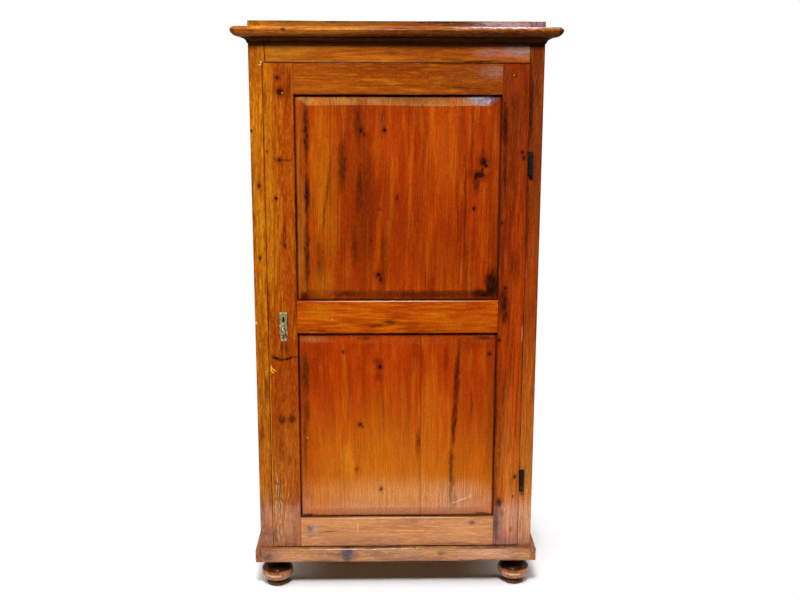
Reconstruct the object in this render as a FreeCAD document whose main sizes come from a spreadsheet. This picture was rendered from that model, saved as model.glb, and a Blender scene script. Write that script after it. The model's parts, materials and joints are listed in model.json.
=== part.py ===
import FreeCAD, Part
import os
import re
import Sketcher

# A tall one-door linen cupboard in pine: a face frame and plank carcass on turned bun feet,
# with an applied cornice and plinth, and a framed door with two raised panels.
# Millimetres, +Z up, the front faces -Y, the origin is on the floor under the middle.

doc = FreeCAD.newDocument("Bonnetiere")

# ---------------------------------------------------------------- driving dimensions
sizes = [
    # carcass boards
    ("carcassWidth", 900), ("carcassDepth", 450), ("overallHeight", 1850),
    ("sideThick", 18), ("boardThick", 18), ("backThick", 12), ("backLap", 8), ("plankGap", 1),
    ("housingDepth", 6), ("tongueThick", 6), ("tongueLength", 8),
    ("backNailRadius", 1.25), ("backNailLong", 38), ("backNailInset", 45),
    # face frame
    ("postThick", 36), ("leftPostWide", 52), ("rightPostWide", 46),
    ("leftRebate", 12), ("rightRebate", 4), ("friezeHigh", 122), ("friezeThick", 24),
    ("frameTenonThick", 8), ("frameTenonInset", 8), ("frameTenonLong", 30),
    ("friezeShoulder", 20), ("sillShoulder", 8), ("mortiseSpare", 1),
    # cornice moulding, from the wall outwards and from below upwards
    ("corniceHigh", 48), ("corniceReach", 48), ("corniceDrop", 18), ("corniceFoot", 3),
    ("coveReach", 18), ("coveHigh", 15.5), ("filletHigh", 2.5), ("filletReach", 2),
    ("lipHigh", 11), ("lipBack", 14),
    # plinth
    ("plinthHigh", 45), ("plinthThick", 17), ("plinthArris", 4),
    # turned feet, from the floor upwards
    ("footHeight", 104), ("footInset", 48), ("backFootInset", 60),
    ("toeRadius", 35), ("toeHigh", 19), ("toeEdge", 8),
    ("bunSeatRadius", 34), ("bunSeat", 21), ("bunRadius", 54), ("bunMid", 45),
    ("bunHeadRadius", 27), ("bunTop", 74), ("neckFlare", 3), ("neckStep", 1),
    ("neckRadius", 18), ("neckMid", 89), ("collarRadius", 24), ("collarHigh", 2),
    ("dowelRadius", 10), ("dowelLong", 30), ("blockSide", 60),
    # shelves
    ("shelfGap", 1), ("shelfSetback", 8), ("battenHigh", 25), ("battenWide", 20),
    ("lowerShelfTop", 585), ("middleShelfTop", 1000), ("upperShelfTop", 1415),
    # door frame and panels
    ("doorThick", 25), ("doorProud", 1.5), ("stopGap", 0.5), ("latchGap", 2), ("hingeGap", 1),
    ("doorTopGap", 2.5), ("doorBottomGap", 3), ("leftStileWide", 92), ("rightStileWide", 83),
    ("topRailHigh", 93), ("midRailHigh", 105), ("bottomRailHigh", 101), ("midRailBottom", 883.5),
    ("grooveLip", 11), ("grooveWide", 7.5), ("grooveDepth", 9), ("grooveStop", 25),
    ("panelPlay", 0.2), ("panelEdgePlay", 1), ("bevelWide", 34), ("fieldRecess", 5),
    ("doorTenonLong", 50), ("pegRadius", 3.5), ("pegLong", 20), ("pegInset", 22),
    # hinges
    ("barrelRadius", 7.25), ("barrelOffset", 8), ("barrelGap", 0.25), ("knuckleLong", 35),
    ("washerThick", 3), ("hingePinRadius", 3), ("hingePinPlay", 0.05), ("hingePinLong", 28),
    ("leafThick", 2), ("leafDeep", 20), ("tipRadius", 3.5),
    ("upperHingeMid", 1423.5), ("lowerHingeMid", 383),
    # escutcheon
    ("plateWide", 28), ("plateHigh", 95), ("plateThick", 1.2), ("plateTop", 953), ("plateInset", 48),
    ("plateWaist", 4.5), ("plateCorner", 4), ("waistLow", 22), ("waistHigh", 36),
    ("plateToeHalf", 3), ("plateToeHigh", 7),
    ("keyDrop", 25), ("keyRadius", 2.8), ("keySlotWide", 2.4), ("keySlotLong", 9),
    ("nailRadius", 1.1), ("nailHeadRadius", 1.9), ("nailHeadHigh", 0.8), ("nailLong", 12),
    ("nailInset", 5), ("lowNailHalf", 5),
    # drop pull
    ("studDrop", 12), ("studRadius", 2), ("studLong", 6.5), ("studTail", 10.5),
    ("crossPinRadius", 1), ("crossPinPlay", 0.05),
    ("eyeThick", 1.5), ("eyeRadius", 2.4), ("eyeGap", 0.5), ("yokeThick", 2), ("yokeDrop", 4.8),
    ("dropLong", 36), ("dropRadius", 4), ("dropNeckRadius", 1.6), ("dropNeckRise", 25),
    # lock and keeper
    ("lockWide", 62), ("lockHigh", 67), ("lockDeep", 12), ("lockSheet", 1.5), ("lockInset", 5),
    ("lockAbove", 23.5), ("lockPlateThick", 2), ("lockPlay", 0.2), ("keyPinRadius", 1.8),
    ("boltThick", 5), ("boltHigh", 14), ("boltLong", 48), ("boltRise", 6), ("boltThrow", 11),
    ("boltPlay", 0.5), ("boltNotchHigh", 4.7), ("springThick", 0.8), ("springInset", 6),
    ("screwRadius", 2), ("screwHeadRadius", 3.6), ("screwHeadHigh", 1.6), ("screwLong", 26),
    ("screwInset", 8), ("screwPlay", 0.1),
    ("keeperThick", 1.5), ("keeperWide", 10), ("keeperHigh", 44), ("keeperNailLong", 14),
]

# Places that follow from the sizes above.
places = [
    ("leftFace", "-carcassWidth / 2"), ("rightFace", "carcassWidth / 2"),
    ("frontFace", "(corniceReach - carcassDepth) / 2"),
    ("backFace", "(corniceReach + carcassDepth) / 2"),
    ("postBack", "frontFace + postThick"), ("plankFront", "backFace - backThick"),
    ("leftInside", "leftFace + sideThick"), ("rightInside", "rightFace - sideThick"),
    ("leftStop", "leftFace + leftPostWide"), ("rightStop", "rightFace - rightPostWide"),
    ("leftJamb", "leftStop - leftRebate"), ("rightJamb", "rightStop + rightRebate"),
    ("friezeBottom", "overallHeight - friezeHigh"), ("plinthTop", "footHeight + plinthHigh"),
    ("corniceTop", "overallHeight - corniceDrop"), ("corniceBottom", "corniceTop - corniceHigh"),
    ("topBoardBottom", "overallHeight - boardThick"), ("bottomBoardTop", "plinthTop + boardThick"),
    ("doorFront", "frontFace - doorProud"), ("doorBack", "doorFront + doorThick"),
    ("rebateBack", "doorBack + stopGap"),
    ("doorLeft", "leftJamb + latchGap"), ("doorRight", "rightJamb - hingeGap"),
    ("doorBottom", "plinthTop + doorBottomGap"), ("doorTop", "friezeBottom - doorTopGap"),
    ("openLeft", "doorLeft + leftStileWide"), ("openRight", "doorRight - rightStileWide"),
    ("bottomRailTop", "doorBottom + bottomRailHigh"), ("midRailTop", "midRailBottom + midRailHigh"),
    ("topRailBottom", "doorTop - topRailHigh"),
    ("grooveFront", "doorFront + grooveLip"), ("grooveBack", "grooveFront + grooveWide"),
    ("hingeX", "doorRight + barrelOffset"), ("hingeY", "doorFront - barrelGap - barrelRadius"),
    ("plateMid", "doorLeft + plateInset"), ("plateFront", "doorFront - plateThick"),
    ("plateBottom", "plateTop - plateHigh"), ("keyHeight", "plateTop - keyDrop"),
    ("studHeight", "keyHeight - studDrop"), ("studFront", "plateFront - studLong"),
    ("pinY", "studFront + studRadius"), ("eyeReach", "studRadius + eyeGap + eyeThick"),
    ("lockLeft", "leftStop + lockInset"), ("lockRight", "lockLeft + lockWide"),
    ("lockBack", "doorBack + lockDeep"), ("lockTop", "keyHeight + lockAbove"),
    ("lockBottom", "lockTop - lockHigh"), ("lockRoof", "lockTop - lockSheet"),
    ("boltFront", "doorBack + lockPlateThick + lockPlay"), ("boltBack", "boltFront + boltThick"),
    ("boltBottom", "keyHeight + boltRise"), ("boltTop", "boltBottom + boltHigh"),
    ("keeperY", "(rebateBack + postBack) / 2"), ("keeperZ", "(boltBottom + boltTop) / 2"),
]

plankCount = 4
pegShares = (("low", "0.25"), ("high", "0.75"))  # of a tenon's height
beyond = "1"  # how far a cutting tool stands past the face that it opens

# Rise over chord of the arcs in the outlines.
quarterRound = 0.2071
coveBulge = 0.16
ovoloBulge = 0.2
lipBulge = 0.18
bunLowBulge = 0.16
bunHighBulge = 0.19
neckBulge = 0.12
waistBulge = 0.12
plateToeBulge = 0.3
dropEndBulge = 0.25
dropSideBulge = 0.05


# ---------------------------------------------------------------- the two sheets
def withSheet(text, sheetName, names):
    # Writes the sheet's name before each of its names in an expression.
    def full(word):
        return sheetName + "." + word.group(0) if word.group(0) in names else word.group(0)
    return re.sub(r"(?<![.\w])[A-Za-z]\w*", full, text)


sizeNames = {name for name, number in sizes}
placeNames = {name for name, formula in places}

sizeSheet = doc.addObject("Spreadsheet::Sheet", "Sizes")
for row, (name, number) in enumerate(sizes, 1):
    sizeSheet.set("A%d" % row, name)
    sizeSheet.set("B%d" % row, str(number))
    sizeSheet.setAlias("B%d" % row, name)
doc.recompute()

placeSheet = doc.addObject("Spreadsheet::Sheet", "Places")
for row, (name, formula) in enumerate(places, 1):
    placeSheet.set("A%d" % row, name)
    placeSheet.set("B%d" % row, "=" + withSheet(formula, "Sizes", sizeNames))
    placeSheet.setAlias("B%d" % row, name)
doc.recompute()


def tied(text):
    # An expression in the sheets' names, ready for setExpression.
    return withSheet(withSheet(text, "Sizes", sizeNames), "Places", placeNames)


def amount(text):
    # The present value of such an expression.
    return float(sizeSheet.evalExpression(tied(text)))


subparts = []


def subpart(piece, label):
    piece.Label = label
    subparts.append(piece)


# ---------------------------------------------------------------- ways of making a piece
def span(face, way, near, far):
    # The (start, end) pair between two depths from a face, counted towards +1 or -1.
    if way > 0:
        return "%s + (%s)" % (face, near), "%s + (%s)" % (face, far)
    return "%s - (%s)" % (face, far), "%s - (%s)" % (face, near)


def pocket(face, way, depth):
    # A cut of that depth, open at the face.
    return span(face, way, "-" + beyond, depth)


def past(start, end):
    # A pair widened at both ends, for a cut that goes right through.
    return "(%s) - %s" % (start, beyond), "(%s) + %s" % (end, beyond)


def about(middle, half):
    # A pair that reaches as far to either side of its middle.
    return "%s - (%s)" % (middle, half), "%s + (%s)" % (middle, half)


def block(name, x, y, z):
    # A squared piece from three (start, end) pairs.
    piece = doc.addObject("Part::Box", name)
    for axis, size, (start, end) in (("x", "Length", x), ("y", "Width", y), ("z", "Height", z)):
        piece.setExpression("Placement.Base." + axis, tied(start))
        piece.setExpression(size, tied("(%s) - (%s)" % (end, start)))
    return piece


turns = {
    "x": FreeCAD.Rotation(FreeCAD.Vector(0, 1, 0), 90),
    "y": FreeCAD.Rotation(FreeCAD.Vector(1, 0, 0), -90),
    "z": FreeCAD.Rotation(),
}


def placed(piece, at):
    for axis, place in zip("xyz", at):
        piece.setExpression("Placement.Base." + axis, tied(place))
    return piece


def rod(name, along, at, radius, length):
    # A round piece that runs along +x, +y or +z from the point at.
    piece = doc.addObject("Part::Cylinder", name)
    piece.Placement = FreeCAD.Placement(FreeCAD.Vector(), turns[along])
    piece.setExpression("Radius", tied(radius))
    piece.setExpression("Height", tied(length))
    return placed(piece, at)


def ball(name, at, radius):
    piece = doc.addObject("Part::Sphere", name)
    piece.setExpression("Radius", tied(radius))
    return placed(piece, at)


def joined(name, pieces):
    whole = doc.addObject("Part::MultiFuse", name)
    whole.Shapes = pieces
    return whole


def grouped(name, pieces):
    # Separate solids that share one node.
    group = doc.addObject("Part::Compound", name)
    group.Links = pieces
    return group


def cut(name, blank, tools):
    piece = doc.addObject("Part::Cut", name)
    piece.Base = blank
    piece.Tool = tools[0] if len(tools) == 1 else joined(name + "_tools", tools)
    return piece


def drawn(body, name, plane, outline):
    # A closed sketch. Each corner is (across, up), or (across, up, bulge) where an arc follows whose
    # rise is bulge times its chord, on the left of the way round when bulge is positive.
    sketch = body.newObject("Sketcher::SketchObject", name)
    origin = [part for part in body.Origin.OriginFeatures if part.Role == plane][0]
    sketch.AttachmentSupport = [(origin, "")]
    sketch.MapMode = "FlatFace"
    points = [FreeCAD.Vector(amount(corner[0]), amount(corner[1]), 0) for corner in outline]
    held = []  # (kind of constraint, side, which point of it, expression)
    ways = []  # the numbers of each side's first and last point
    for side, first in enumerate(outline):
        after = (side + 1) % len(outline)
        last = outline[after]
        chord = points[after] - points[side]
        if len(first) == 2:
            sketch.addGeometry(Part.LineSegment(points[side], points[after]), False)
        else:
            rise = FreeCAD.Vector(-chord.y, chord.x, 0) * first[2]
            middle = (points[side] + points[after]) * 0.5 + rise
            ends = (points[side], points[after])
            if first[2] > 0:
                ends = (points[after], points[side])  # an arc in a sketch runs anticlockwise
            sketch.addGeometry(Part.Arc(ends[0], middle, ends[1]), False)
            setBack = 1 / (8 * first[2]) - first[2] / 2  # from the chord to the centre, over the chord
            centre = "((%s) + (%s)) / 2 + %.9f * ((%s) - (%s))"
            if abs(chord.x) > abs(chord.y):
                up = centre % (first[1], last[1], -setBack, last[0], first[0])
                held.append(("DistanceY", side, 3, up))
            else:
                across = centre % (first[0], last[0], setBack, last[1], first[1])
                held.append(("DistanceX", side, 3, across))
        kept = sketch.Geometry[side]
        fromStart = kept.StartPoint.distanceToPoint(points[side])
        fromEnd = kept.EndPoint.distanceToPoint(points[side])
        ways.append((1, 2) if fromStart < fromEnd else (2, 1))
        held.append(("DistanceX", side, ways[side][0], first[0]))
        held.append(("DistanceY", side, ways[side][0], first[1]))
    constraints = [Sketcher.Constraint(kind, side, point, amount(place)) for kind, side, point, place in held]
    for side in range(len(outline)):
        after = (side + 1) % len(outline)
        constraints.append(Sketcher.Constraint("Coincident", side, ways[side][1], after, ways[after][0]))
    sketch.addConstraint(constraints)
    for number, (kind, side, point, place) in enumerate(held):
        sketch.setExpression("Constraints[%d]" % number, tied(place))
    sketch.Visibility = False
    return sketch


def slab(name, plane, outline, start, end):
    # A sketch padded from start to end along the axis that its plane leaves out.
    body = doc.addObject("PartDesign::Body", name)
    sketch = drawn(body, name + "_sketch", plane, outline)
    offset = "-(%s)" % end if plane == "XZ_Plane" else start
    sketch.setExpression("AttachmentOffset.Base.z", tied(offset))
    pad = body.newObject("PartDesign::Pad", name + "_pad")
    pad.Profile = sketch
    pad.setExpression("Length", tied("(%s) - (%s)" % (end, start)))
    return body


def turned(name, outline, at):
    # A half section (radius, height) turned about an upright axis through the point at.
    body = doc.addObject("PartDesign::Body", name)
    sketch = drawn(body, name + "_sketch", "XZ_Plane", outline)
    turn = body.newObject("PartDesign::Revolution", name + "_turn")
    turn.Profile = sketch
    turn.ReferenceAxis = (sketch, ["V_Axis"])
    turn.Angle = 360
    return placed(body, at)


# ---------------------------------------------------------------- posts, rails and boards
sides = (("left", 1), ("right", -1))  # each with its way inwards along x
fullHeight = ("footHeight", "overallHeight")
friezeTenonZ = ("friezeBottom + friezeShoulder", "overallHeight - friezeShoulder")
sillTenonZ = ("footHeight + sillShoulder", "plinthTop - sillShoulder")
frameTenonY = span("frontFace", 1, "frameTenonInset", "frameTenonInset + frameTenonThick")
keeperPlateY = about("keeperY", "keeperWide / 2")
keeperPlateZ = about("keeperZ", "keeperHigh / 2")
boltSlotY = ("boltFront - boltPlay", "boltBack + boltPlay")
boltSlotZ = ("boltBottom - boltPlay", "boltTop + boltPlay")
hingeMids = (("upper", "upperHingeMid"), ("lower", "lowerHingeMid"))


def upperKnuckle(mid):
    return span(mid, 1, "washerThick / 2", "washerThick / 2 + knuckleLong")


def lowerKnuckle(mid):
    return span(mid, -1, "washerThick / 2", "washerThick / 2 + knuckleLong")


def keeperNails(name):
    heights = about("keeperZ", "keeperHigh / 2 - 2 * nailHeadRadius")
    return [rod("%s_%d" % (name, count), "x", ("leftStop - keeperNailLong", "keeperY", height),
                "nailRadius", "keeperNailLong") for count, height in enumerate(heights, 1)]


def makePost(side, inward, extra):
    label = side + "_post"
    stop = side + "Stop"
    mortise = pocket(stop, -inward, "frameTenonLong + mortiseSpare")
    tools = [
        block(label + "_rebate", pocket(stop, -inward, side + "Rebate"),
              ("frontFace - " + beyond, "rebateBack"), ("plinthTop", "friezeBottom")),
        block(label + "_groove", span(side + "Face", inward, "tongueThick", "2 * tongueThick"),
              pocket("postBack", -1, "tongueLength"), past(*fullHeight)),
        block(label + "_frieze_mortise", mortise, frameTenonY, friezeTenonZ),
        block(label + "_sill_mortise", mortise, frameTenonY, sillTenonZ),
    ]
    blank = block(label + "_blank", span(side + "Face", inward, "0", side + "PostWide"),
                  ("frontFace", "postBack"), fullHeight)
    subpart(cut(label, blank, tools + extra), label)


def makePosts():
    makePost("left", 1, [
        block("left_post_keeper_recess", pocket("leftStop", -1, "keeperThick"), keeperPlateY, keeperPlateZ),
        block("left_post_bolt_hole", pocket("leftStop", -1, "boltThrow + 2 * boltPlay - lockInset"),
              boltSlotY, boltSlotZ),
    ] + keeperNails("left_post_nail_hole"))
    makePost("right", -1, [
        block("right_post_%s_leaf_recess" % which, pocket("rightJamb", 1, "leafThick"),
              pocket("frontFace", 1, "leafDeep"), lowerKnuckle(mid)) for which, mid in hingeMids])


def makeRail(label, y, z, tenonZ):
    subpart(joined(label, [
        block(label + "_body", ("leftStop", "rightStop"), y, z),
        block(label + "_left_tenon", span("leftStop", -1, "0", "frameTenonLong"), frameTenonY, tenonZ),
        block(label + "_right_tenon", span("rightStop", 1, "0", "frameTenonLong"), frameTenonY, tenonZ),
    ]), label)


nailRows = (("bottom", "plinthTop + boardThick / 2"), ("top", "overallHeight - boardThick / 2"))


def plankX(index):
    pitch = "(carcassWidth - 2 * sideThick + 2 * backLap) / %d" % plankCount
    start = "leftInside - backLap + %d * %s" % (index, pitch)
    return "%s + plankGap / 2" % start, "%s + %s - plankGap / 2" % (start, pitch)


def backNails(name, planks, rows):
    # Two nails through each plank into each of the boards behind it.
    nails = []
    for index in planks:
        start, end = plankX(index)
        for row, height in rows:
            for side, x in (("left", start + " + backNailInset"), ("right", end + " - backNailInset")):
                nails.append(rod("%s_%s_%d_%s" % (name, row, index + 1, side), "y",
                                 (x, "backFace - backNailLong", height), "backNailRadius", "backNailLong"))
    return nails


def makeSides():
    housingY = ("postBack", "plankFront")
    for side, inward in sides:
        label = side + "_side"
        inside = side + "Inside"
        board = joined(label + "_board", [
            block(label + "_body", span(side + "Face", inward, "0", "sideThick"), ("postBack", "backFace"),
                  fullHeight),
            block(label + "_tongue", span(side + "Face", inward, "tongueThick", "2 * tongueThick"),
                  span("postBack", -1, "0", "tongueLength"), fullHeight),
        ])
        housing = pocket(inside, -inward, "housingDepth")
        subpart(cut(label, board, [
            block(label + "_bottom_housing", housing, housingY, ("plinthTop", "bottomBoardTop")),
            block(label + "_top_housing", housing, housingY, pocket("overallHeight", -1, "boardThick")),
            block(label + "_back_rebate", pocket(inside, -inward, "backLap"),
                  pocket("backFace", -1, "backThick"), past(*fullHeight)),
        ]), label)


def makeHousedBoard(label, front, z, row):
    # A board housed in both sides and notched round the posts.
    width = ("leftInside - housingDepth", "rightInside + housingDepth")
    notchY = (front + " - " + beyond, "postBack")
    tools = [
        block(label + "_left_notch", (width[0] + " - " + beyond, "leftStop"), notchY, past(*z)),
        block(label + "_right_notch", ("rightStop", width[1] + " + " + beyond), notchY, past(*z)),
    ] + backNails(label + "_nail_hole", range(plankCount), [row])
    subpart(cut(label, block(label + "_blank", width, (front, "plankFront"), z), tools), label)


def makeBack():
    for index in range(plankCount):
        label = "back_plank_%d" % (index + 1)
        blank = block(label + "_blank", plankX(index), ("plankFront", "backFace"), fullHeight)
        subpart(cut(label, blank, backNails(label + "_nail_hole", [index], nailRows)), label)
    subpart(grouped("back_nails", backNails("back_nail", range(plankCount), nailRows)), "back_nails")


def makeShelves():
    depth = ("postBack + shelfSetback", "plankFront")
    width = ("leftInside + shelfGap", "rightInside - shelfGap")
    for level in ("lower", "middle", "upper"):
        top = level + "ShelfTop"
        label = level + "_shelf"
        subpart(block(label, width, depth, span(top, -1, "0", "boardThick")), label)
        for side, inward in sides:
            label = "%s_%s_batten" % (level, side)
            subpart(block(label, span(side + "Inside", inward, "0", "battenWide"), depth,
                          span(top, -1, "boardThick", "boardThick + battenHigh")), label)


# ---------------------------------------------------------------- cornice, plinth and feet
def outwards(face, way):
    # Turns (reach, height) into a corner that lies that far out from the face, for a moulding's outline.
    def at(reach, height, bulge=None):
        corner = ("%s + %d * (%s)" % (face, way, reach), height)
        return corner if bulge is None else corner + (bulge * way,)
    return at


def corniceProfile(face, way):
    # From the wall outwards: a small foot, a cove, a fillet, an ovolo and a rounded lip.
    at = outwards(face, way)
    return [
        at("0", "corniceTop"),
        at("0", "corniceBottom"),
        at("corniceFoot", "corniceBottom", coveBulge),
        at("coveReach", "corniceBottom + coveHigh"),
        at("coveReach", "corniceBottom + coveHigh + filletHigh"),
        at("coveReach + filletReach", "corniceBottom + coveHigh + filletHigh", -ovoloBulge),
        at("corniceReach", "corniceTop - lipHigh", -lipBulge),
        at("corniceReach - lipBack", "corniceTop"),
    ]


def makeCornice():
    # Each length is cut to its mitres by its own outline in plan.
    outerLeft = "leftFace - corniceReach"
    outerRight = "rightFace + corniceReach"
    outerFront = "frontFace - corniceReach"
    innerLeft = ("leftFace", "frontFace")
    innerRight = ("rightFace", "frontFace")
    lengths = (
        ("cornice_front", "YZ_Plane", "frontFace", -1, (outerLeft, outerRight),
         [innerLeft, (outerLeft, outerFront), (outerRight, outerFront), innerRight]),
        ("cornice_left", "XZ_Plane", "leftFace", -1, (outerFront, "backFace"),
         [innerLeft, ("leftFace", "backFace"), (outerLeft, "backFace"), (outerLeft, outerFront)]),
        ("cornice_right", "XZ_Plane", "rightFace", 1, (outerFront, "backFace"),
         [innerRight, (outerRight, outerFront), (outerRight, "backFace"), ("rightFace", "backFace")]),
    )
    for label, plane, face, way, ends, plan in lengths:
        mitred = doc.addObject("Part::Common", label)
        mitred.Base = slab(label + "_length", plane, corniceProfile(face, way), *ends)
        mitred.Tool = slab(label + "_plan", "XY_Plane", plan, "corniceBottom", "corniceTop")
        subpart(mitred, label)


def plinthProfile(face, way):
    at = outwards(face, way)
    return [
        at("0", "footHeight"),
        at("0", "plinthTop"),
        at("plinthThick - plinthArris", "plinthTop", quarterRound),
        at("plinthThick", "plinthTop - plinthArris"),
        at("plinthThick", "footHeight"),
    ]


def makePlinth():
    # The front strip is butted between the two side strips, whose ends show at the corners.
    sideLength = ("frontFace - plinthThick", "backFace")
    for label, plane, face, way, ends in (
            ("plinth_front", "YZ_Plane", "frontFace", -1, ("leftFace", "rightFace")),
            ("plinth_left", "XZ_Plane", "leftFace", -1, sideLength),
            ("plinth_right", "XZ_Plane", "rightFace", 1, sideLength)):
        subpart(slab(label, plane, plinthProfile(face, way), *ends), label)


# Per foot: its place in plan, and its block's width and depth in the corner of the carcass.
footPlaces = []
for end, footY, blockY in (
        ("front", "frontFace + footInset", span("postBack", 1, "0", "blockSide")),
        ("back", "backFace - backFootInset", span("plankFront", -1, "0", "blockSide"))):
    for side, inward in sides:
        footPlaces.append(("%s_%s" % (end, side), "%sFace + %d * footInset" % (side, inward), footY,
                           span(side + "Inside", inward, "0", "blockSide"), blockY))


def makeFeet():
    # Turned from one piece: toe, bun, waisted neck, collar and the dowel above it.
    section = [
        ("0", "0"),
        ("toeRadius - toeEdge", "0", -quarterRound),
        ("toeRadius", "toeEdge"),
        ("toeRadius", "toeHigh - toeEdge", -quarterRound),
        ("toeRadius - toeEdge", "toeHigh"),
        ("bunSeatRadius", "bunSeat", -bunLowBulge),
        ("bunRadius", "bunMid", -bunHighBulge),
        ("bunHeadRadius", "bunTop"),
        ("neckRadius + neckFlare", "bunTop + neckStep", neckBulge),
        ("neckRadius", "neckMid", neckBulge),
        ("collarRadius", "footHeight - collarHigh"),
        ("collarRadius", "footHeight"),
        ("dowelRadius", "footHeight"),
        ("dowelRadius", "footHeight + dowelLong"),
        ("0", "footHeight + dowelLong"),
    ]
    for place, x, y, blockX, blockY in footPlaces:
        subpart(turned(place + "_foot", section, (x, y, "0")), place + "_foot")


def makeBlocks():
    for place, x, y, blockX, blockY in footPlaces:
        label = place + "_block"
        blank = block(label + "_blank", blockX, blockY, ("footHeight", "plinthTop"))
        hole = rod(label + "_hole", "z", (x, y, "footHeight - " + beyond), "dowelRadius",
                   "dowelLong + " + beyond)
        subpart(cut(label, blank, [hole]), label)


# ---------------------------------------------------------------- the door's frame and panels
doorY = ("doorFront", "doorBack")
grooveY = ("grooveFront", "grooveBack")
railTenons = {
    "top": ("topRailBottom + grooveDepth", "doorTop - grooveStop"),
    "mid": ("midRailBottom + grooveDepth", "midRailTop - grooveDepth"),
    "bottom": ("doorBottom + grooveStop", "bottomRailTop - grooveDepth"),
}
pegSides = {"left": "openLeft - pegInset", "right": "openRight + pegInset"}


def doorPegs(name, sides, rails):
    # Pegs driven from the back through the tenons, two to a joint.
    pegs = []
    for side in sides:
        for rail in rails:
            low, high = railTenons[rail]
            for which, share in pegShares:
                height = "(%s) + %s * ((%s) - (%s))" % (low, share, high, low)
                pegs.append(rod("%s_%s_%s_%s" % (name, side, rail, which), "y",
                                (pegSides[side], "doorBack - pegLong", height), "pegRadius", "pegLong"))
    return pegs


def keyway(name, y):
    # The keyhole's round eye and its slot, as tools that run through y.
    start, end = y
    return [
        rod(name + "_eye", "y", ("plateMid", start, "keyHeight"), "keyRadius", "(%s) - (%s)" % (end, start)),
        block(name + "_slot", about("plateMid", "keySlotWide / 2"), y,
              span("keyHeight", -1, "0", "keySlotLong")),
    ]


# The three corners of the lock that its bolt leaves free.
lockScrewPlaces = (
    ("low_left", "lockLeft + screwInset", "lockBottom + screwInset"),
    ("low_right", "lockRight - screwInset", "lockBottom + screwInset"),
    ("high_right", "lockRight - screwInset", "lockTop - screwInset"),
)


def lockShanks(name, radius):
    return [rod("%s_%s" % (name, place), "y", (x, "lockBack - screwLong", z), radius, "screwLong")
            for place, x, z in lockScrewPlaces]


def lockScrewHoles(label):
    return lockShanks(label + "_screw_hole", "screwRadius + screwPlay")


def lockScrews():
    screws = []
    for shank, (place, x, z) in zip(lockShanks("lock_screw_shank", "screwRadius"), lockScrewPlaces):
        head = rod("lock_screw_head_" + place, "y", (x, "lockBack", z), "screwHeadRadius", "screwHeadHigh")
        screws.append(joined("lock_screw_" + place, [shank, head]))
    return screws


plateNailPlaces = (
    ("top_left", "plateMid - plateWide / 2 + nailInset", "plateTop - nailInset"),
    ("top_right", "plateMid + plateWide / 2 - nailInset", "plateTop - nailInset"),
    ("low_left", "plateMid - lowNailHalf", "plateBottom + nailInset"),
    ("low_right", "plateMid + lowNailHalf", "plateBottom + nailInset"),
)


def plateNailShanks(name):
    return [rod("%s_%s" % (name, place), "y", (x, "plateFront", z), "nailRadius", "nailLong")
            for place, x, z in plateNailPlaces]


def plateNails():
    nails = []
    for shank, (place, x, z) in zip(plateNailShanks("plate_nail_shank"), plateNailPlaces):
        head = rod("plate_nail_head_" + place, "y", (x, "plateFront - nailHeadHigh", z),
                   "nailHeadRadius", "nailHeadHigh")
        nails.append(joined("plate_nail_" + place, [shank, head]))
    return nails


def makeStile(label, side, x, edge, outward, extra):
    # The edge is the one that meets the rails, and outward is the way from it into the wood.
    tools = [block(label + "_groove", pocket(edge, outward, "grooveDepth"), grooveY,
                   ("doorBottom + grooveStop", "doorTop - grooveStop"))]
    for rail, tenonZ in railTenons.items():
        tools.append(block("%s_%s_mortise" % (label, rail),
                           pocket(edge, outward, "doorTenonLong + mortiseSpare"), grooveY, tenonZ))
    tools += doorPegs(label + "_peg_hole", [side], railTenons)
    blank = block(label + "_blank", x, doorY, ("doorBottom", "doorTop"))
    subpart(cut(label, blank, tools + extra), label)


def makeDoorRail(rail, z, grooves, extra):
    label = rail + "_rail"
    whole = joined(label + "_blank", [
        block(label + "_body", ("openLeft", "openRight"), doorY, z),
        block(label + "_left_tenon", span("openLeft", -1, "0", "doorTenonLong"), grooveY, railTenons[rail]),
        block(label + "_right_tenon", span("openRight", 1, "0", "doorTenonLong"), grooveY, railTenons[rail]),
    ])
    tools = [block("%s_groove_%d" % (label, count), past("openLeft", "openRight"), grooveY, groove)
             for count, groove in enumerate(grooves, 1)]
    tools += doorPegs(label + "_peg_hole", pegSides, [rail])
    subpart(cut(label, whole, tools + extra), label)


def makePanel(label, low, high):
    # A flat tongue in the grooves, and a field raised by a broad bevel on all four sides.
    reach = "grooveDepth - panelEdgePlay"
    tongue = block(label + "_tongue", ("openLeft - (%s)" % reach, "openRight + (%s)" % reach),
                   ("grooveFront + panelPlay", "grooveBack - panelPlay"),
                   ("%s - (%s)" % (low, reach), "%s + (%s)" % (high, reach)))
    field = doc.addObject("Part::Wedge", label + "_field")
    bounds = (
        ("Xmax", "openRight - bevelWide"), ("Zmax", high + " - bevelWide"),
        ("X2max", "openRight"), ("Z2max", high), ("Ymax", "grooveFront + panelPlay"),
        ("Xmin", "openLeft + bevelWide"), ("Zmin", low + " + bevelWide"),
        ("X2min", "openLeft"), ("Z2min", low), ("Ymin", "doorFront + fieldRecess"),
    )
    for edge, bound in bounds:
        setattr(field, edge, amount(bound))
        field.setExpression(edge, tied(bound))
    subpart(joined(label, [tongue, field]), label)


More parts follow.
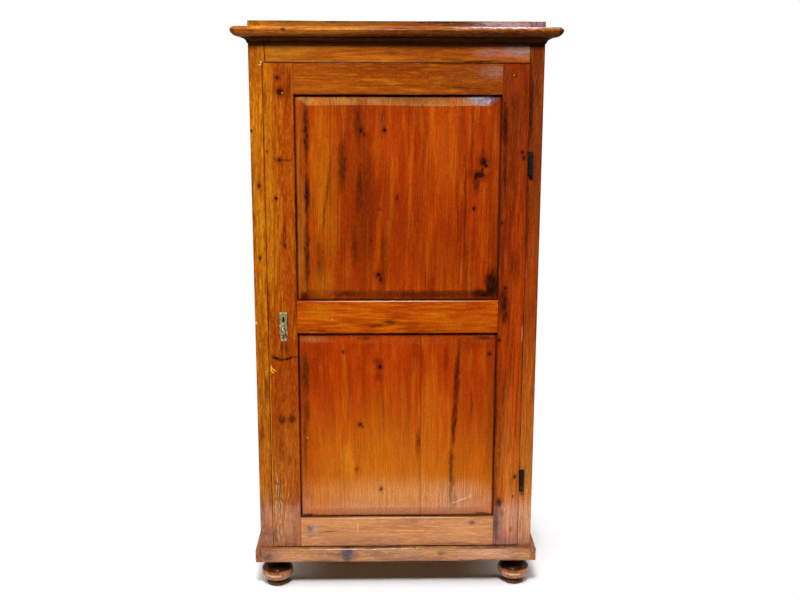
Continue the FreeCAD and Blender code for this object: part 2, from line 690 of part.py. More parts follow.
def makeDoor():
    leftExtra = keyway("left_stile_keyway", past(*doorY)) + lockScrewHoles("left_stile")
    leftExtra += plateNailShanks("left_stile_nail_hole")
    leftExtra.append(rod("left_stile_stud_hole", "y", ("plateMid", "plateFront", "studHeight"),
                         "studRadius", "studTail + plateThick"))
    makeStile("left_stile", "left", ("doorLeft", "openLeft"), "openLeft", -1, leftExtra)

    recesses = [block("right_stile_%s_leaf_recess" % which, pocket("doorRight", -1, "leafThick"),
                      pocket("doorFront", 1, "leafDeep"), upperKnuckle(mid)) for which, mid in hingeMids]
    makeStile("right_stile", "right", ("openRight", "doorRight"), "openRight", 1, recesses)

    makeDoorRail("top", ("topRailBottom", "doorTop"), [pocket("topRailBottom", 1, "grooveDepth")], [])
    makeDoorRail("mid", ("midRailBottom", "midRailTop"),
                 [pocket("midRailBottom", 1, "grooveDepth"), pocket("midRailTop", -1, "grooveDepth")],
                 keyway("mid_rail_keyway", past(*doorY)) + lockScrewHoles("mid_rail"))
    makeDoorRail("bottom", ("doorBottom", "bottomRailTop"), [pocket("bottomRailTop", -1, "grooveDepth")], [])
    makePanel("upper_panel", "midRailTop", "topRailBottom")
    makePanel("lower_panel", "bottomRailTop", "midRailBottom")
    subpart(grouped("door_pegs", doorPegs("door_peg", pegSides, railTenons)), "door_pegs")


# ---------------------------------------------------------------- hinges
def makePinLeaf(which, mid):
    # The post's half: a knuckle with the pin standing up out of it.
    label = which + "_hinge_pin_leaf"
    low, high = lowerKnuckle(mid)
    subpart(joined(label, [
        rod(label + "_barrel", "z", ("hingeX", "hingeY", low), "barrelRadius", "knuckleLong"),
        ball(label + "_tip", ("hingeX", "hingeY", low), "tipRadius"),
        rod(label + "_pin", "z", ("hingeX", "hingeY", high), "hingePinRadius", "washerThick + hingePinLong"),
        block(label + "_plate", span("rightJamb", 1, "0", "leafThick"),
              ("hingeY + leafThick", "frontFace + leafDeep"), (low, high)),
    ]), label)


def makeDoorLeaf(which, mid):
    # The door's half: a knuckle bored for the pin, and a plate that reaches the knuckle by a short wrap.
    label = which + "_hinge_door_leaf"
    low, high = upperKnuckle(mid)
    plateX = span("doorRight", -1, "0", "leafThick")
    leaf = joined(label + "_blank", [
        rod(label + "_barrel", "z", ("hingeX", "hingeY", low), "barrelRadius", "knuckleLong"),
        ball(label + "_tip", ("hingeX", "hingeY", high), "tipRadius"),
        block(label + "_plate", plateX, ("hingeY - leafThick / 2", "doorFront + leafDeep"), (low, high)),
        block(label + "_wrap", (plateX[0], "hingeX - hingePinRadius - leafThick"),
              about("hingeY", "leafThick / 2"), (low, high)),
    ])
    bore = rod(label + "_bore", "z", ("hingeX", "hingeY", low + " - " + beyond),
               "hingePinRadius + hingePinPlay", "hingePinLong + leafThick + " + beyond)
    subpart(cut(label, leaf, [bore]), label)


def makeWasher(which, mid):
    ring = rod(which + "_washer_ring", "z", ("hingeX", "hingeY", mid + " - washerThick / 2"),
               "barrelRadius - hingePinPlay", "washerThick")
    eye = rod(which + "_washer_eye", "z", ("hingeX", "hingeY", mid + " - washerThick"),
              "hingePinRadius + hingePinPlay", "2 * washerThick")
    return cut(which + "_washer", ring, [eye])


def makeHinges():
    for which, mid in hingeMids:
        makePinLeaf(which, mid)
        makeDoorLeaf(which, mid)
    subpart(grouped("hinge_washers", [makeWasher(which, mid) for which, mid in hingeMids]), "hinge_washers")


# ---------------------------------------------------------------- escutcheon and drop pull
def makeEscutcheon():
    # Wide above, drawn in to a waist, and rounded off at the toe.
    footLeft, footRight = about("plateMid", "plateWide / 2 - plateWaist")
    left, right = about("plateMid", "plateWide / 2")
    toeLeft, toeRight = about("plateMid", "plateToeHalf")
    outline = [
        (footLeft, "plateBottom + plateToeHigh", -plateToeBulge),
        (toeLeft, "plateBottom"),
        (toeRight, "plateBottom", -plateToeBulge),
        (footRight, "plateBottom + plateToeHigh"),
        (footRight, "plateBottom + waistLow", waistBulge),
        (right, "plateBottom + waistHigh"),
        (right, "plateTop - plateCorner", -quarterRound),
        (right + " - plateCorner", "plateTop"),
        (left + " + plateCorner", "plateTop", -quarterRound),
        (left, "plateTop - plateCorner"),
        (left, "plateBottom + waistHigh", waistBulge),
        (footLeft, "plateBottom + waistLow"),
    ]
    plate = slab("escutcheon_blank", "XZ_Plane", outline, "plateFront", "doorFront")
    tools = keyway("escutcheon_keyway", past("plateFront", "doorFront"))
    tools.append(rod("escutcheon_stud_hole", "y", ("plateMid", "plateFront - " + beyond, "studHeight"),
                     "studRadius", "plateThick + 2 * " + beyond))
    tools += plateNailShanks("escutcheon_nail_hole")
    subpart(cut("escutcheon", plate, tools), "escutcheon")
    subpart(grouped("escutcheon_nails", plateNails()), "escutcheon_nails")


def makePull():
    # A stud with a cross pin, and a slim drop that hangs from it by two eyes.
    subpart(joined("pull_stud", [
        rod("pull_stud_shank", "y", ("plateMid", "studFront", "studHeight"), "studRadius",
            "studLong + plateThick + studTail"),
        rod("pull_stud_cross_pin", "x", ("plateMid - eyeReach", "pinY", "studHeight"), "crossPinRadius",
            "2 * eyeReach"),
    ]), "pull_stud")
    armY = about("pinY", "yokeThick / 2")
    metal = [block("drop_pull_yoke", about("plateMid", "eyeReach"), armY,
                   about("studHeight - yokeDrop", "yokeThick / 2"))]
    for side, way in (("left", -1), ("right", 1)):
        eyeX = span("plateMid", way, "eyeReach - eyeThick", "eyeReach")
        metal.append(rod("drop_pull_%s_eye" % side, "x", (eyeX[0], "pinY", "studHeight"),
                         "eyeRadius", "eyeThick"))
        metal.append(block("drop_pull_%s_arm" % side, eyeX, armY,
                           span("studHeight", -1, "eyeRadius / 2", "yokeDrop")))
    neckTop = "dropLong - yokeDrop"
    metal.append(turned("drop_pull_drop", [
        ("0", "0"),
        ("dropRadius / 2", "0", -dropEndBulge),
        ("dropRadius", "dropRadius", dropSideBulge),
        ("dropNeckRadius", "dropNeckRise"),
        ("dropNeckRadius", neckTop),
        ("0", neckTop),
    ], ("plateMid", "pinY", "studHeight - dropLong")))
    hole = rod("drop_pull_pin_hole", "x", ("plateMid - 2 * eyeReach", "pinY", "studHeight"),
               "crossPinRadius + crossPinPlay", "4 * eyeReach")
    subpart(cut("drop_pull", joined("drop_pull_blank", metal), [hole]), "drop_pull")


# ---------------------------------------------------------------- lock and keeper
def makeLock():
    # A sheet case open towards the door, with the key's pin standing in it.
    insideX = ("lockLeft + lockSheet", "lockRight - lockSheet")
    insideZ = ("lockBottom + lockSheet", "lockRoof")
    blank = block("lock_case_blank", ("lockLeft", "lockRight"), ("doorBack", "lockBack"),
                  ("lockBottom", "lockTop"))
    shell = cut("lock_case_shell", blank, [
        block("lock_case_hollow", insideX, ("doorBack - " + beyond, "lockBack - lockSheet"), insideZ),
        block("lock_case_mouth", pocket("lockLeft", 1, "2 * lockSheet"),
              ("boltFront - lockPlay", "boltBack + lockPlay"),
              ("boltBottom - lockPlay", "boltTop + lockPlay")),
    ] + lockScrewHoles("lock_case"))
    pin = rod("lock_case_key_pin", "y", ("plateMid", "grooveFront", "keyHeight"), "keyPinRadius",
              "lockBack - lockSheet - grooveFront")
    subpart(joined("lock_case", [shell, pin]), "lock_case")

    plate = block("lock_plate_blank", (insideX[0] + " + lockPlay", insideX[1] + " - lockPlay"),
                  span("doorBack", 1, "0", "lockPlateThick"),
                  (insideZ[0] + " + lockPlay", insideZ[1] + " - lockPlay"))
    plateHoles = keyway("lock_plate_keyway", past("doorBack", "doorBack + lockPlateThick"))
    subpart(cut("lock_plate", plate, plateHoles + lockScrewHoles("lock_plate")), "lock_plate")

    # The bolt is drawn back at rest. Its notch takes the key's bit.
    bolt = block("lock_bolt_blank", span("lockLeft", 1, "0", "boltLong"), ("boltFront", "boltBack"),
                 ("boltBottom", "boltTop"))
    notch = block("lock_bolt_notch", about("plateMid", "boltThrow / 2 + lockSheet"),
                  past("boltFront", "boltBack"), pocket("boltBottom", 1, "boltNotchHigh"))
    subpart(cut("lock_bolt", bolt, [notch]), "lock_bolt")

    # The leaf spring bows down from the case's roof to just above the bolt.
    start, end = "lockLeft + springInset", "lockLeft + boltLong - springInset"
    middle = "(%s) / 2 + (%s) / 2" % (start, end)
    spring = [
        (start, "lockRoof"), (start, "lockRoof - springThick"), (middle, "boltTop + lockPlay"),
        (end, "lockRoof - springThick"), (end, "lockRoof"), (middle, "boltTop + lockPlay + springThick"),
    ]
    subpart(slab("lock_spring", "XZ_Plane", spring, "boltFront + lockSheet", "boltBack - lockSheet"),
            "lock_spring")
    subpart(grouped("lock_screws", lockScrews()), "lock_screws")


def makeKeeper():
    blank = block("keeper_plate_blank", span("leftStop", -1, "0", "keeperThick"), keeperPlateY, keeperPlateZ)
    mouth = block("keeper_plate_mouth", past("leftStop - keeperThick", "leftStop"), boltSlotY, boltSlotZ)
    subpart(cut("keeper_plate", blank, [mouth] + keeperNails("keeper_plate_nail_hole")), "keeper_plate")
    subpart(grouped("keeper_nails", keeperNails("keeper_nail")), "keeper_nails")


makePosts()
makeRail("frieze_rail", span("frontFace", 1, "0", "friezeThick"), ("friezeBottom", "overallHeight"),
         friezeTenonZ)
makeRail("sill_rail", ("frontFace", "postBack"), ("footHeight", "plinthTop"), sillTenonZ)
makeSides()
makeHousedBoard("bottom_board", "rebateBack", ("plinthTop", "bottomBoardTop"), nailRows[0])
makeHousedBoard("top_board", "frontFace + friezeThick", ("topBoardBottom", "overallHeight"), nailRows[1])
makeBack()
makeShelves()
makeCornice()
makePlinth()
makeFeet()
makeBlocks()
makeDoor()
makeHinges()
makeEscutcheon()
makePull()
makeLock()
makeKeeper()

doc.recompute()

faults = []
for thing in doc.Objects:
    if "Invalid" in thing.State or "Error" in thing.State:
        faults.append("%s: %s" % (thing.Name, thing.State))
for piece in subparts:
    if piece.Shape.isNull() or not piece.Shape.isValid():
        faults.append("%s has no valid shape" % piece.Label)
if faults:
    raise RuntimeError("; ".join(faults))

os.makedirs("parts", exist_ok=True)
for piece in subparts:
    piece.Shape.exportStep("parts/%s.step" % piece.Label)
print("%d sub-parts, %d solids" % (len(subparts), sum(len(piece.Shape.Solids) for piece in subparts)))
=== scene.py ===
import json
import math
import random
import bmesh
import bpy
from mathutils import Matrix, Vector


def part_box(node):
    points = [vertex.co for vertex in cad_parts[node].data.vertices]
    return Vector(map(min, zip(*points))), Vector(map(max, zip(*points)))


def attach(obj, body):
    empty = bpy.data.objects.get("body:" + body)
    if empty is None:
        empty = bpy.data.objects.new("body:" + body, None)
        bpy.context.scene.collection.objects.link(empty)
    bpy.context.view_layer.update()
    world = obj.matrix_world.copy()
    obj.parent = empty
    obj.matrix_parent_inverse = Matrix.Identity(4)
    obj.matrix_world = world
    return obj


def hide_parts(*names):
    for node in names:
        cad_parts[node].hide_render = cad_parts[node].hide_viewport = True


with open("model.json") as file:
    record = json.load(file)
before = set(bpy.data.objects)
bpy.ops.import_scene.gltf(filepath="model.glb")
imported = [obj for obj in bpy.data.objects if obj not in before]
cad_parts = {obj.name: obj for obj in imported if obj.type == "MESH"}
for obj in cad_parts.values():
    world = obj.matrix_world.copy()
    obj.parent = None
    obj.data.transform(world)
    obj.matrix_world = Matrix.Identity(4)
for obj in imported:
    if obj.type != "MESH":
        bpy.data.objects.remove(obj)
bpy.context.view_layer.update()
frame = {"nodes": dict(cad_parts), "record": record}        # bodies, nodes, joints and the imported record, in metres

# A one-door linen cupboard in stained and shellacked fir. Lengths in the dictionaries are millimetres.
mm = 0.001
bodyOf = {node: body for body, nodes in frame["record"]["behaviour"]["bodies"].items() for node in nodes}
bpy.context.scene.view_settings.view_transform = "Standard"


# small tools
def linear(colour):
    # An sRGB hex value as the linear colour that a shader takes.
    parts = [int(colour[i:i + 2], 16) / 255 for i in (1, 3, 5)]
    return [p / 12.92 if p <= 0.04045 else ((p + 0.055) / 1.055) ** 2.4 for p in parts] + [1]


def feed(tree, node, links):
    # Each input, by name or number, gets a socket or the first socket of a node.
    for key, source in dict(links).items():
        tree.links.new(getattr(source, "outputs", [source])[0], node.inputs[key])


def add(tree, kind, settings=(), links=()):
    # One node. A setting is an attribute, an input's value, or the stops of a ramp.
    node = tree.nodes.new("ShaderNode" + kind)
    for key, value in dict(settings).items():
        if key == "stops":
            stops = node.color_ramp.elements
            for count, (position, colour) in enumerate(value):
                stop = stops[count] if count < 2 else stops.new(position)
                stop.position = position
                stop.color = linear(colour)
        elif isinstance(key, str) and hasattr(node, key):
            setattr(node, key, value)
        else:
            node.inputs[key].default_value = value
    feed(tree, node, links)
    return node


def startMaterial(name):
    # A material, its tree, the place on the object in millimetres, and its shader.
    material = bpy.data.materials.new(name)
    material.use_nodes = True
    tree = material.node_tree
    place = add(tree, "TexCoord").outputs["Object"]
    real = add(tree, "VectorMath", {"operation": "SCALE", "Scale": 1 / mm}, {0: place})
    return material, tree, real, tree.nodes["Principled BSDF"]


def blend(tree, mask, under, over):
    # Two colours by a mask; a colour is a socket or a hex value.
    settings, links = {"data_type": "RGBA"}, {}
    for key, value in ((0, mask), (6, under), (7, over)):
        if isinstance(value, str):
            settings[key] = linear(value)
        elif isinstance(value, (int, float)):
            settings[key] = value
        else:
            links[key] = value
    return add(tree, "Mix", settings, links).outputs[2]


def maths(tree, operation, *values, kind="Math"):
    # A sum of constants, sockets and nodes.
    settings, links = {"operation": operation}, {}
    for key, value in enumerate(values):
        (settings if isinstance(value, (int, float, tuple)) else links)[key] = value
    return add(tree, kind, settings, links)


def vectors(tree, operation, *values):
    return maths(tree, operation, *values, kind="VectorMath")


def fade(tree, value, near, far, high=1.0, low=0.0):
    # High at near and below, low at far and above, eased between.
    return add(tree, "MapRange", {"interpolation_type": "SMOOTHSTEP", 1: near, 2: far, 3: high, 4: low},
               {0: value})


seedStep = (1.0, 0.7, 1.3)      # how far a seed moves a noise along each axis


def stretched(tree, place, size, detail=3.0, seed=0.0):
    # Noise whose lumps have the given size in millimetres along each axis.
    moved = add(tree, "Mapping", {"Location": [seed * step for step in seedStep],
                                  "Scale": [1 / s for s in size]}, {"Vector": place})
    return add(tree, "TexNoise", {"Scale": 1.0, "Detail": detail}, {"Vector": moved})


def tinted(tree, colour, noise, edges, depths, tone):
    # A tone laid over the colour, its depth changing as the noise passes from one edge to the other.
    return blend(tree, fade(tree, noise, *edges, *depths), colour, tone)


def deselectAll():
    if bpy.context.object and bpy.context.object.mode != "OBJECT":
        bpy.ops.object.mode_set(mode="OBJECT")
    bpy.ops.object.select_all(action="DESELECT")


def activate(piece):
    deselectAll()
    piece.select_set(True)
    bpy.context.view_layer.objects.active = piece


def smoothFlats(piece):
    # Rounded arrises are shaded smooth, while the wide faces beside them stay flat.
    activate(piece)
    bpy.ops.object.shade_smooth_by_angle(angle=math.radians(35))
    piece.modifiers.new("flats", "WEIGHTED_NORMAL").keep_sharp = True
    bpy.ops.object.modifier_apply(modifier="flats")


def block(name, low, high):
    # A plain box between two corners.
    deselectAll()
    bpy.ops.mesh.primitive_cube_add(size=1, location=(low + high) / 2, scale=high - low)
    piece = bpy.context.object
    piece.name = name
    bpy.ops.object.transform_apply(location=True, rotation=True, scale=True)
    return piece


def cutLong(piece, length, cuts):
    # In edit mode, cuts every edge that is longer than the given millimetres into equal parts.
    bpy.ops.mesh.select_mode(type="EDGE")
    bpy.ops.mesh.select_all(action="DESELECT")
    work = bmesh.from_edit_mesh(piece.data)
    for edge in work.edges:
        edge.select_set(edge.calc_length() > length * mm)
    bmesh.update_edit_mesh(piece.data)
    bpy.ops.mesh.subdivide(number_cuts=cuts)


def camel(node):
    first, *rest = node.split("_")
    return first + "".join(word.capitalize() for word in rest)


# camera: the lens of a short telephoto at eye height, tipped a little down
cameraPlace = {"at": (-67.4, -3423.1, 1668.1), "tipDown": 11.854, "turnRight": 1.396, "roll": 0.159,
               "lens": 46.6}


def makeCamera(look):
    tip, turn, roll = (math.radians(look[key]) for key in ("tipDown", "turnRight", "roll"))
    forward = Vector((math.sin(turn) * math.cos(tip), math.cos(turn) * math.cos(tip), -math.sin(tip)))
    level = Vector((math.cos(turn), -math.sin(turn), 0))
    upright = level.cross(forward)
    right = math.cos(roll) * level + math.sin(roll) * upright
    up = math.cos(roll) * upright - math.sin(roll) * level
    camera = bpy.data.objects.new("camera", bpy.data.cameras.new("camera"))
    camera.data.lens = look["lens"]
    camera.matrix_world = Matrix.Translation(Vector(look["at"]) * mm) @ Matrix(
        (right, up, -forward)).transposed().to_4x4()
    bpy.context.collection.objects.link(camera)
    bpy.context.scene.camera = camera


makeCamera(cameraPlace)
print("camera placed")

# lamps, floor and world
lamps = {
    "highFront": {"at": (-150, -3700, 5000), "size": 0.9, "watts": 285},
    "lowFront": {"at": (640, -3950, 2950), "size": 0.2, "watts": 0.38, "colour": "#E4EAFF"},
    "overhead": {"at": (300, -500, 4600), "size": 2.4, "watts": 45, "colour": "#F4F7FF"},
    "highFill": {"at": (-1500, -2700, 5200), "size": 2.0, "watts": 130},
    "leftSide": {"at": (-3600, 500, 2300), "size": 1.8, "watts": 45},
    "rightSide": {"at": (3600, 500, 2300), "size": 1.8, "watts": 45},
    "behind": {"at": (500, 3600, 3600), "size": 1.8, "watts": 50},
}
lampTarget = Vector((0, 0, 900)) * mm


def makeLamps(looks):
    for name, look in looks.items():
        light = bpy.data.lights.new(name, "AREA")
        light.size = look["size"]
        light.energy = look["watts"]
        light.color = linear(look.get("colour", "#FFFFFF"))[:3]
        lamp = bpy.data.objects.new(name, light)
        lamp.location = Vector(look["at"]) * mm
        lamp.rotation_euler = (lampTarget - lamp.location).to_track_quat("-Z", "Y").to_euler()
        bpy.context.collection.objects.link(lamp)


ground = {"low": (-2000, -900), "high": (2000, 2200), "albedo": "#F7F7F7", "whiteFrom": 500,
          "whiteTo": 740}


def makeFloor(look):
    deselectAll()
    low, high = (Vector((*look[key], 0)) * mm for key in ("low", "high"))
    bpy.ops.mesh.primitive_plane_add(size=1, location=(low + high) / 2)
    bpy.ops.transform.resize(value=high - low + Vector((0, 0, 1)))
    bpy.ops.object.transform_apply(location=True, rotation=True, scale=True)
    floor = bpy.context.object
    floor.name = "floor"
    material, tree, real, shader = startMaterial("matt_white_paper")
    shader.inputs["Base Color"].default_value = linear(look["albedo"])
    shader.inputs["Roughness"].default_value = 0.9
    shader.inputs["Specular IOR Level"].default_value = 0.0
    # Past the object's shadow the paper is plain white to the eye, as the air behind it is.
    reach = vectors(tree, "LENGTH", real).outputs["Value"]
    far = fade(tree, reach, look["whiteFrom"], look["whiteTo"], 0.0, 1.0)
    path = add(tree, "LightPath")
    seen = maths(tree, "MAXIMUM", path.outputs["Is Camera Ray"], path.outputs["Is Transmission Ray"])
    plain = add(tree, "Emission", {"Color": (1, 1, 1, 1), "Strength": 1.0})
    both = add(tree, "MixShader", {}, {0: maths(tree, "MULTIPLY", far, seen), 1: shader.outputs[0],
                                       2: plain})
    feed(tree, tree.nodes["Material Output"], {"Surface": both})
    floor.data.materials.append(material)


room = {"dim": "#1C1A19", "white": "#FFFFFF", "ambient": 1.0, "backdropFrom": -0.1, "backdropTo": 0.35}


def makeWorld(look):
    # A white sweep behind and a dim room in front, which is what the glossy front mirrors.
    world = bpy.data.worlds.new("studio")
    bpy.context.scene.world = world
    world.use_nodes = True
    tree = world.node_tree
    base = tree.nodes["Background"]
    base.inputs["Color"].default_value = linear(look["dim"])
    base.inputs["Strength"].default_value = look["ambient"]
    white = add(tree, "Background", {"Color": linear(look["white"]), "Strength": 1.0})
    way = add(tree, "SeparateXYZ", {}, {0: add(tree, "TexCoord").outputs["Generated"]}).outputs["Y"]
    behind = fade(tree, way, look["backdropFrom"], look["backdropTo"], 0.0, 1.0)
    path = add(tree, "LightPath")
    mirrored = maths(tree, "MAXIMUM", path.outputs["Is Glossy Ray"], path.outputs["Is Transmission Ray"])
    reflected = maths(tree, "MULTIPLY", mirrored, behind)
    shown = maths(tree, "MAXIMUM", path.outputs["Is Camera Ray"], reflected)
    both = add(tree, "MixShader", {}, {0: shown, 1: base, 2: white})
    feed(tree, tree.nodes["World Output"], {"Surface": both})


makeLamps(lamps)
makeFloor(ground)
makeWorld(room)
print("stage set")

# wood
turns = {"x": (0, 90, 0), "y": (90, 0, 0), "z": (0, 0, 0)}     # degrees that bring the grain upright
plainLook = {
    "slot": "frame_pine", "soft": 1.2, "grain": "z", "heart": (-90, 160), "tilt": (0.5, 0.9), "pitch": 6.5,
    "wander": 12, "stain": ("#6E2B06", "#A8480A", "#C66A12"), "late": "#6A2605", "ringShade": 0.5,
    "mottle": (30, 30, 260), "seed": 0.0, "gloss": 0.45, "bareGloss": 0.04, "fleck": 0.22,
    "fleckSize": (3, 3, 18), "sheen": "#DC8A10", "wear": 0.3, "smear": 0.75, "tongues": (9, 9, 75),
    "patchy": ("#CC7E12", "#8A2C04"), "patches": 0.5, "washes": (), "streaks": (), "knots": (),
    "scratches": (), "scratchTone": "#E8CFA8", "bloom": (), "milk": "#9C8C88", "edgeDirt": 0.5,
    "edgeFrom": -1, "edgeReach": 6, "edgeFaint": 0.25, "joints": (), "film": 1.0, "skinDeep": 12,
    "bare": None, "bareStain": ("#8E5C36", "#BC8C5E", "#D0A67C"), "bevels": (), "hollows": (),
    "jointLine": 0.1, "fibre": 0.45, "stipple": 0.3, "streakTone": "#2C0E02", "haloTone": "#6A2004",
    "knotTone": "#1E0802", "dirt": "#260C03", "markDeep": 60, "washDeep": 1000, "knotPush": 9.0,
    "nextBoard": (157, 31, 870), "sway": (75, 75, 430), "years": 0.06, "yearShift": 14.0}


def marked(tree, place, marks, frontY, depth, inner, outer, join):
    # Nearness to any of the marks (x, z, half width, half height, strength, turn in degrees).
    total = None
    for x, z, halfWide, halfHigh, strength, *turn in marks:
        at, size = (x, frontY, z), (halfWide, depth, halfHigh)
        if turn:
            spot = add(tree, "Mapping", {"vector_type": "TEXTURE", "Location": at, "Scale": size,
                                         "Rotation": (0, math.radians(turn[0]), 0)}, {"Vector": place})
        else:       # the same without a turn; one graph could not hold as many Mapping nodes
            spot = vectors(tree, "MULTIPLY_ADD", place, tuple(1 / s for s in size),
                           tuple(-a / s for a, s in zip(at, size)))
        away = vectors(tree, "LENGTH", spot).outputs["Value"]
        one = fade(tree, away, inner, outer, strength)
        total = one if total is None else maths(tree, join, total, one)
    return total


def shaken(tree, place, lump, reach, seed):
    # The place moved sideways by a noise, so that what is drawn there gets a ragged outline.
    noise = stretched(tree, place, (lump, lump, lump), 3.0, seed).outputs["Color"]
    centred = vectors(tree, "SUBTRACT", noise, (0.5, 0.5, 0.5))
    return vectors(tree, "MULTIPLY_ADD", centred, (2 * reach, 0, 2 * reach), place)


def stained(tree, spread, tones):
    # The stain's colours, dark, middle and light, as it spread.
    dark, mid, light = tones
    stops = [(0.0, dark), (1.0, light), (0.5, mid)]
    return add(tree, "ValToRGB", {"stops": stops}, {0: spread}).outputs[0]


def pine(name, node, changes):
    # Fir, flat sawn, stained red-brown and shellacked: growth rings bent by knots, the stain lying
    # darker in the soft wood, a clear glossy film that dirt and wear have dulled in places.
    look = {**plainLook, **changes}
    low, high = (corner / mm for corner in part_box(node))
    middle = (low + high) / 2
    material, tree, real, shader = startMaterial(name)
    seed = look["seed"]
    ragged = shaken(tree, real, 5, 2.2, seed + 0.4)
    crisp = shaken(tree, real, 9, 1.2, seed + 7.9)
    drifted = shaken(tree, real, 30, 7, seed + 1.3)

    def near(place, marks, inner, outer, depth=look["markDeep"], join="MAXIMUM"):
        return marked(tree, place, marks, low.y, depth, inner, outer, join)

    # knots push the rings aside
    knotBulge = near(real, look["knots"], 0.3, 4.5, join="ADD")
    knotCore = near(ragged, look["knots"], 0.6, 1.25)
    knotHalo = near(shaken(tree, real, 11, 5, seed + 9.1), look["knots"], 0.6, 3.2)

    # board space: millimetres from the heart of the tree, the grain along Z
    across, behind = look["heart"]
    heart = {"x": (middle.x, low.y + behind, middle.z + across),
             "y": (middle.x + across, middle.y, middle.z + behind),
             "z": (middle.x + across, low.y + behind, middle.z)}[look["grain"]]
    turn = [math.radians(a + b) for a, b in zip(turns[look["grain"]], (*look["tilt"], 0))]
    board = add(tree, "Mapping", {"vector_type": "TEXTURE", "Location": heart, "Rotation": turn},
                {"Vector": real})
    axes = add(tree, "SeparateXYZ", {}, {0: real}).outputs
    for joint in look["joints"]:        # a wide panel is glued up from boards of different trees
        beyond = maths(tree, "GREATER_THAN", axes["X"], joint)
        board = vectors(tree, "MULTIPLY_ADD", beyond, look["nextBoard"], board)
    sway = stretched(tree, board, look["sway"], 2.0, seed)
    bent = vectors(tree, "MULTIPLY_ADD", sway.outputs["Color"], (look["wander"], look["wander"], 0), board)
    flat = vectors(tree, "MULTIPLY", bent, (1, 1, 0))
    radius = vectors(tree, "LENGTH", flat).outputs["Value"]
    if knotBulge:
        radius = maths(tree, "ADD", radius, maths(tree, "MULTIPLY", knotBulge, look["knotPush"]))
    years = add(tree, "TexNoise", {"noise_dimensions": "1D", "Scale": look["years"], "Detail": 1.0},
                {"W": radius})
    grown = maths(tree, "MULTIPLY_ADD", years, look["yearShift"], radius)
    ring = maths(tree, "FRACT", maths(tree, "DIVIDE", grown, look["pitch"]))
    late = add(tree, "ValToRGB", {"stops": [(0.0, "#141414"), (1.0, "#101010"), (0.45, "#303030"),
                                            (0.82, "#F0F0F0"), (0.93, "#FFFFFF")]}, {0: ring})
    strength = stretched(tree, bent, (40, 40, 300), 2.0, seed + 2.2)    # rings show more in places
    shown = fade(tree, strength, 0.4, 0.66, look["ringShade"] * 0.12, look["ringShade"])
    lateShade = maths(tree, "MULTIPLY", late, shown)

    # stain: broad soft tongues, finer flecks in them, and fibres
    mottle = stretched(tree, bent, look["mottle"], 5.0, seed + 3.1)
    spread = fade(tree, mottle, 0.32, 0.68, 0.0, 1.0)
    colour = stained(tree, spread, look["stain"])
    tongues = stretched(tree, bent, look["tongues"], 4.0, seed + 4.6)
    gold, red = look["patchy"]
    colour = tinted(tree, colour, tongues, (0.34, 0.52), (look["patches"], 0.0), red)
    colour = tinted(tree, colour, tongues, (0.50, 0.68), (0.0, look["patches"]), gold)
    # each bevel of a raised panel takes its own tone by the way it faces: painted light and shade, with some real
    # difference of stain and dirt
    matt = None
    if look["bevels"]:
        lumps = stretched(tree, real, (26, 60, 60), 3.0, seed + 4.1)
        uneven = fade(tree, lumps, 0.35, 0.62, 0.35, 1.0)
        normal = add(tree, "SeparateXYZ", {}, {0: add(tree, "TexCoord").outputs["Normal"]})
        for axis, start, end, tone, depth in look["bevels"]:
            side = fade(tree, normal.outputs[axis], start, end, 0.0, depth)
            colour = blend(tree, maths(tree, "MULTIPLY", side, uneven), colour, tone)
            if axis == "Z" and end < 0:
                matt = side
    # washes of stain, and in places painted light and shade: under the cornice, on its lip, and low down near the
    # floor
    for *mark, tone in look["washes"]:
        colour = blend(tree, near(drifted, [mark], 0.0, 1.4, look["washDeep"]), colour, tone)
    film = look["film"]
    if look["bare"]:        # a face that was never stained
        axis, start, end = look["bare"]
        inner = fade(tree, axes[axis], start, end, 0.0, 0.94)
        colour = blend(tree, inner, colour, stained(tree, spread, look["bareStain"]))
        film = maths(tree, "MULTIPLY", maths(tree, "SUBTRACT", 1.0, inner), film)
    colour = blend(tree, lateShade, colour, look["late"])
    fibre = stretched(tree, bent, (2.2, 2.2, 90), 4.0, seed + 5.7)      # real fibres are finer than this
    colour = tinted(tree, colour, fibre, (0.38, 0.58), (look["fibre"], 0.0), look["late"])
    fleck = stretched(tree, bent, look["fleckSize"], 4.0, seed + 6.4)
    colour = tinted(tree, colour, fleck, (0.36, 0.5), (look["fleck"], 0.0), look["late"])
    colour = tinted(tree, colour, fleck, (0.52, 0.68), (0.0, look["fleck"]), look["sheen"])
    pores = stretched(tree, real, (3.6, 3.6, 5.5), 2.0, seed + 5.1)     # and so are real pores
    colour = tinted(tree, colour, pores, (0.33, 0.5), (look["stipple"], 0.0), look["late"])
    colour = tinted(tree, colour, pores, (0.54, 0.7), (0.0, look["stipple"] * 0.5), look["sheen"])

    # dark streaks in the grain, and in places painted shade: the dark keyhole and the cornice's mitred tips
    shadeAndStreakMask = near(drifted, look["streaks"], 0.25, 1.25)
    if shadeAndStreakMask:
        blotchy = fade(tree, fleck, 0.38, 0.62, 1.3, 0.85)
        colour = blend(tree, maths(tree, "MULTIPLY", shadeAndStreakMask, blotchy), colour, look["streakTone"])
    if knotCore:
        cracks = stretched(tree, real, (5, 5, 5), 3.0, seed + 2.9)
        broken = fade(tree, cracks, 0.38, 0.6, 1.0, 0.75)
        colour = blend(tree, maths(tree, "MULTIPLY", knotHalo, look["smear"]), colour, look["haloTone"])
        colour = blend(tree, maths(tree, "MULTIPLY", knotCore, broken), colour, look["knotTone"])
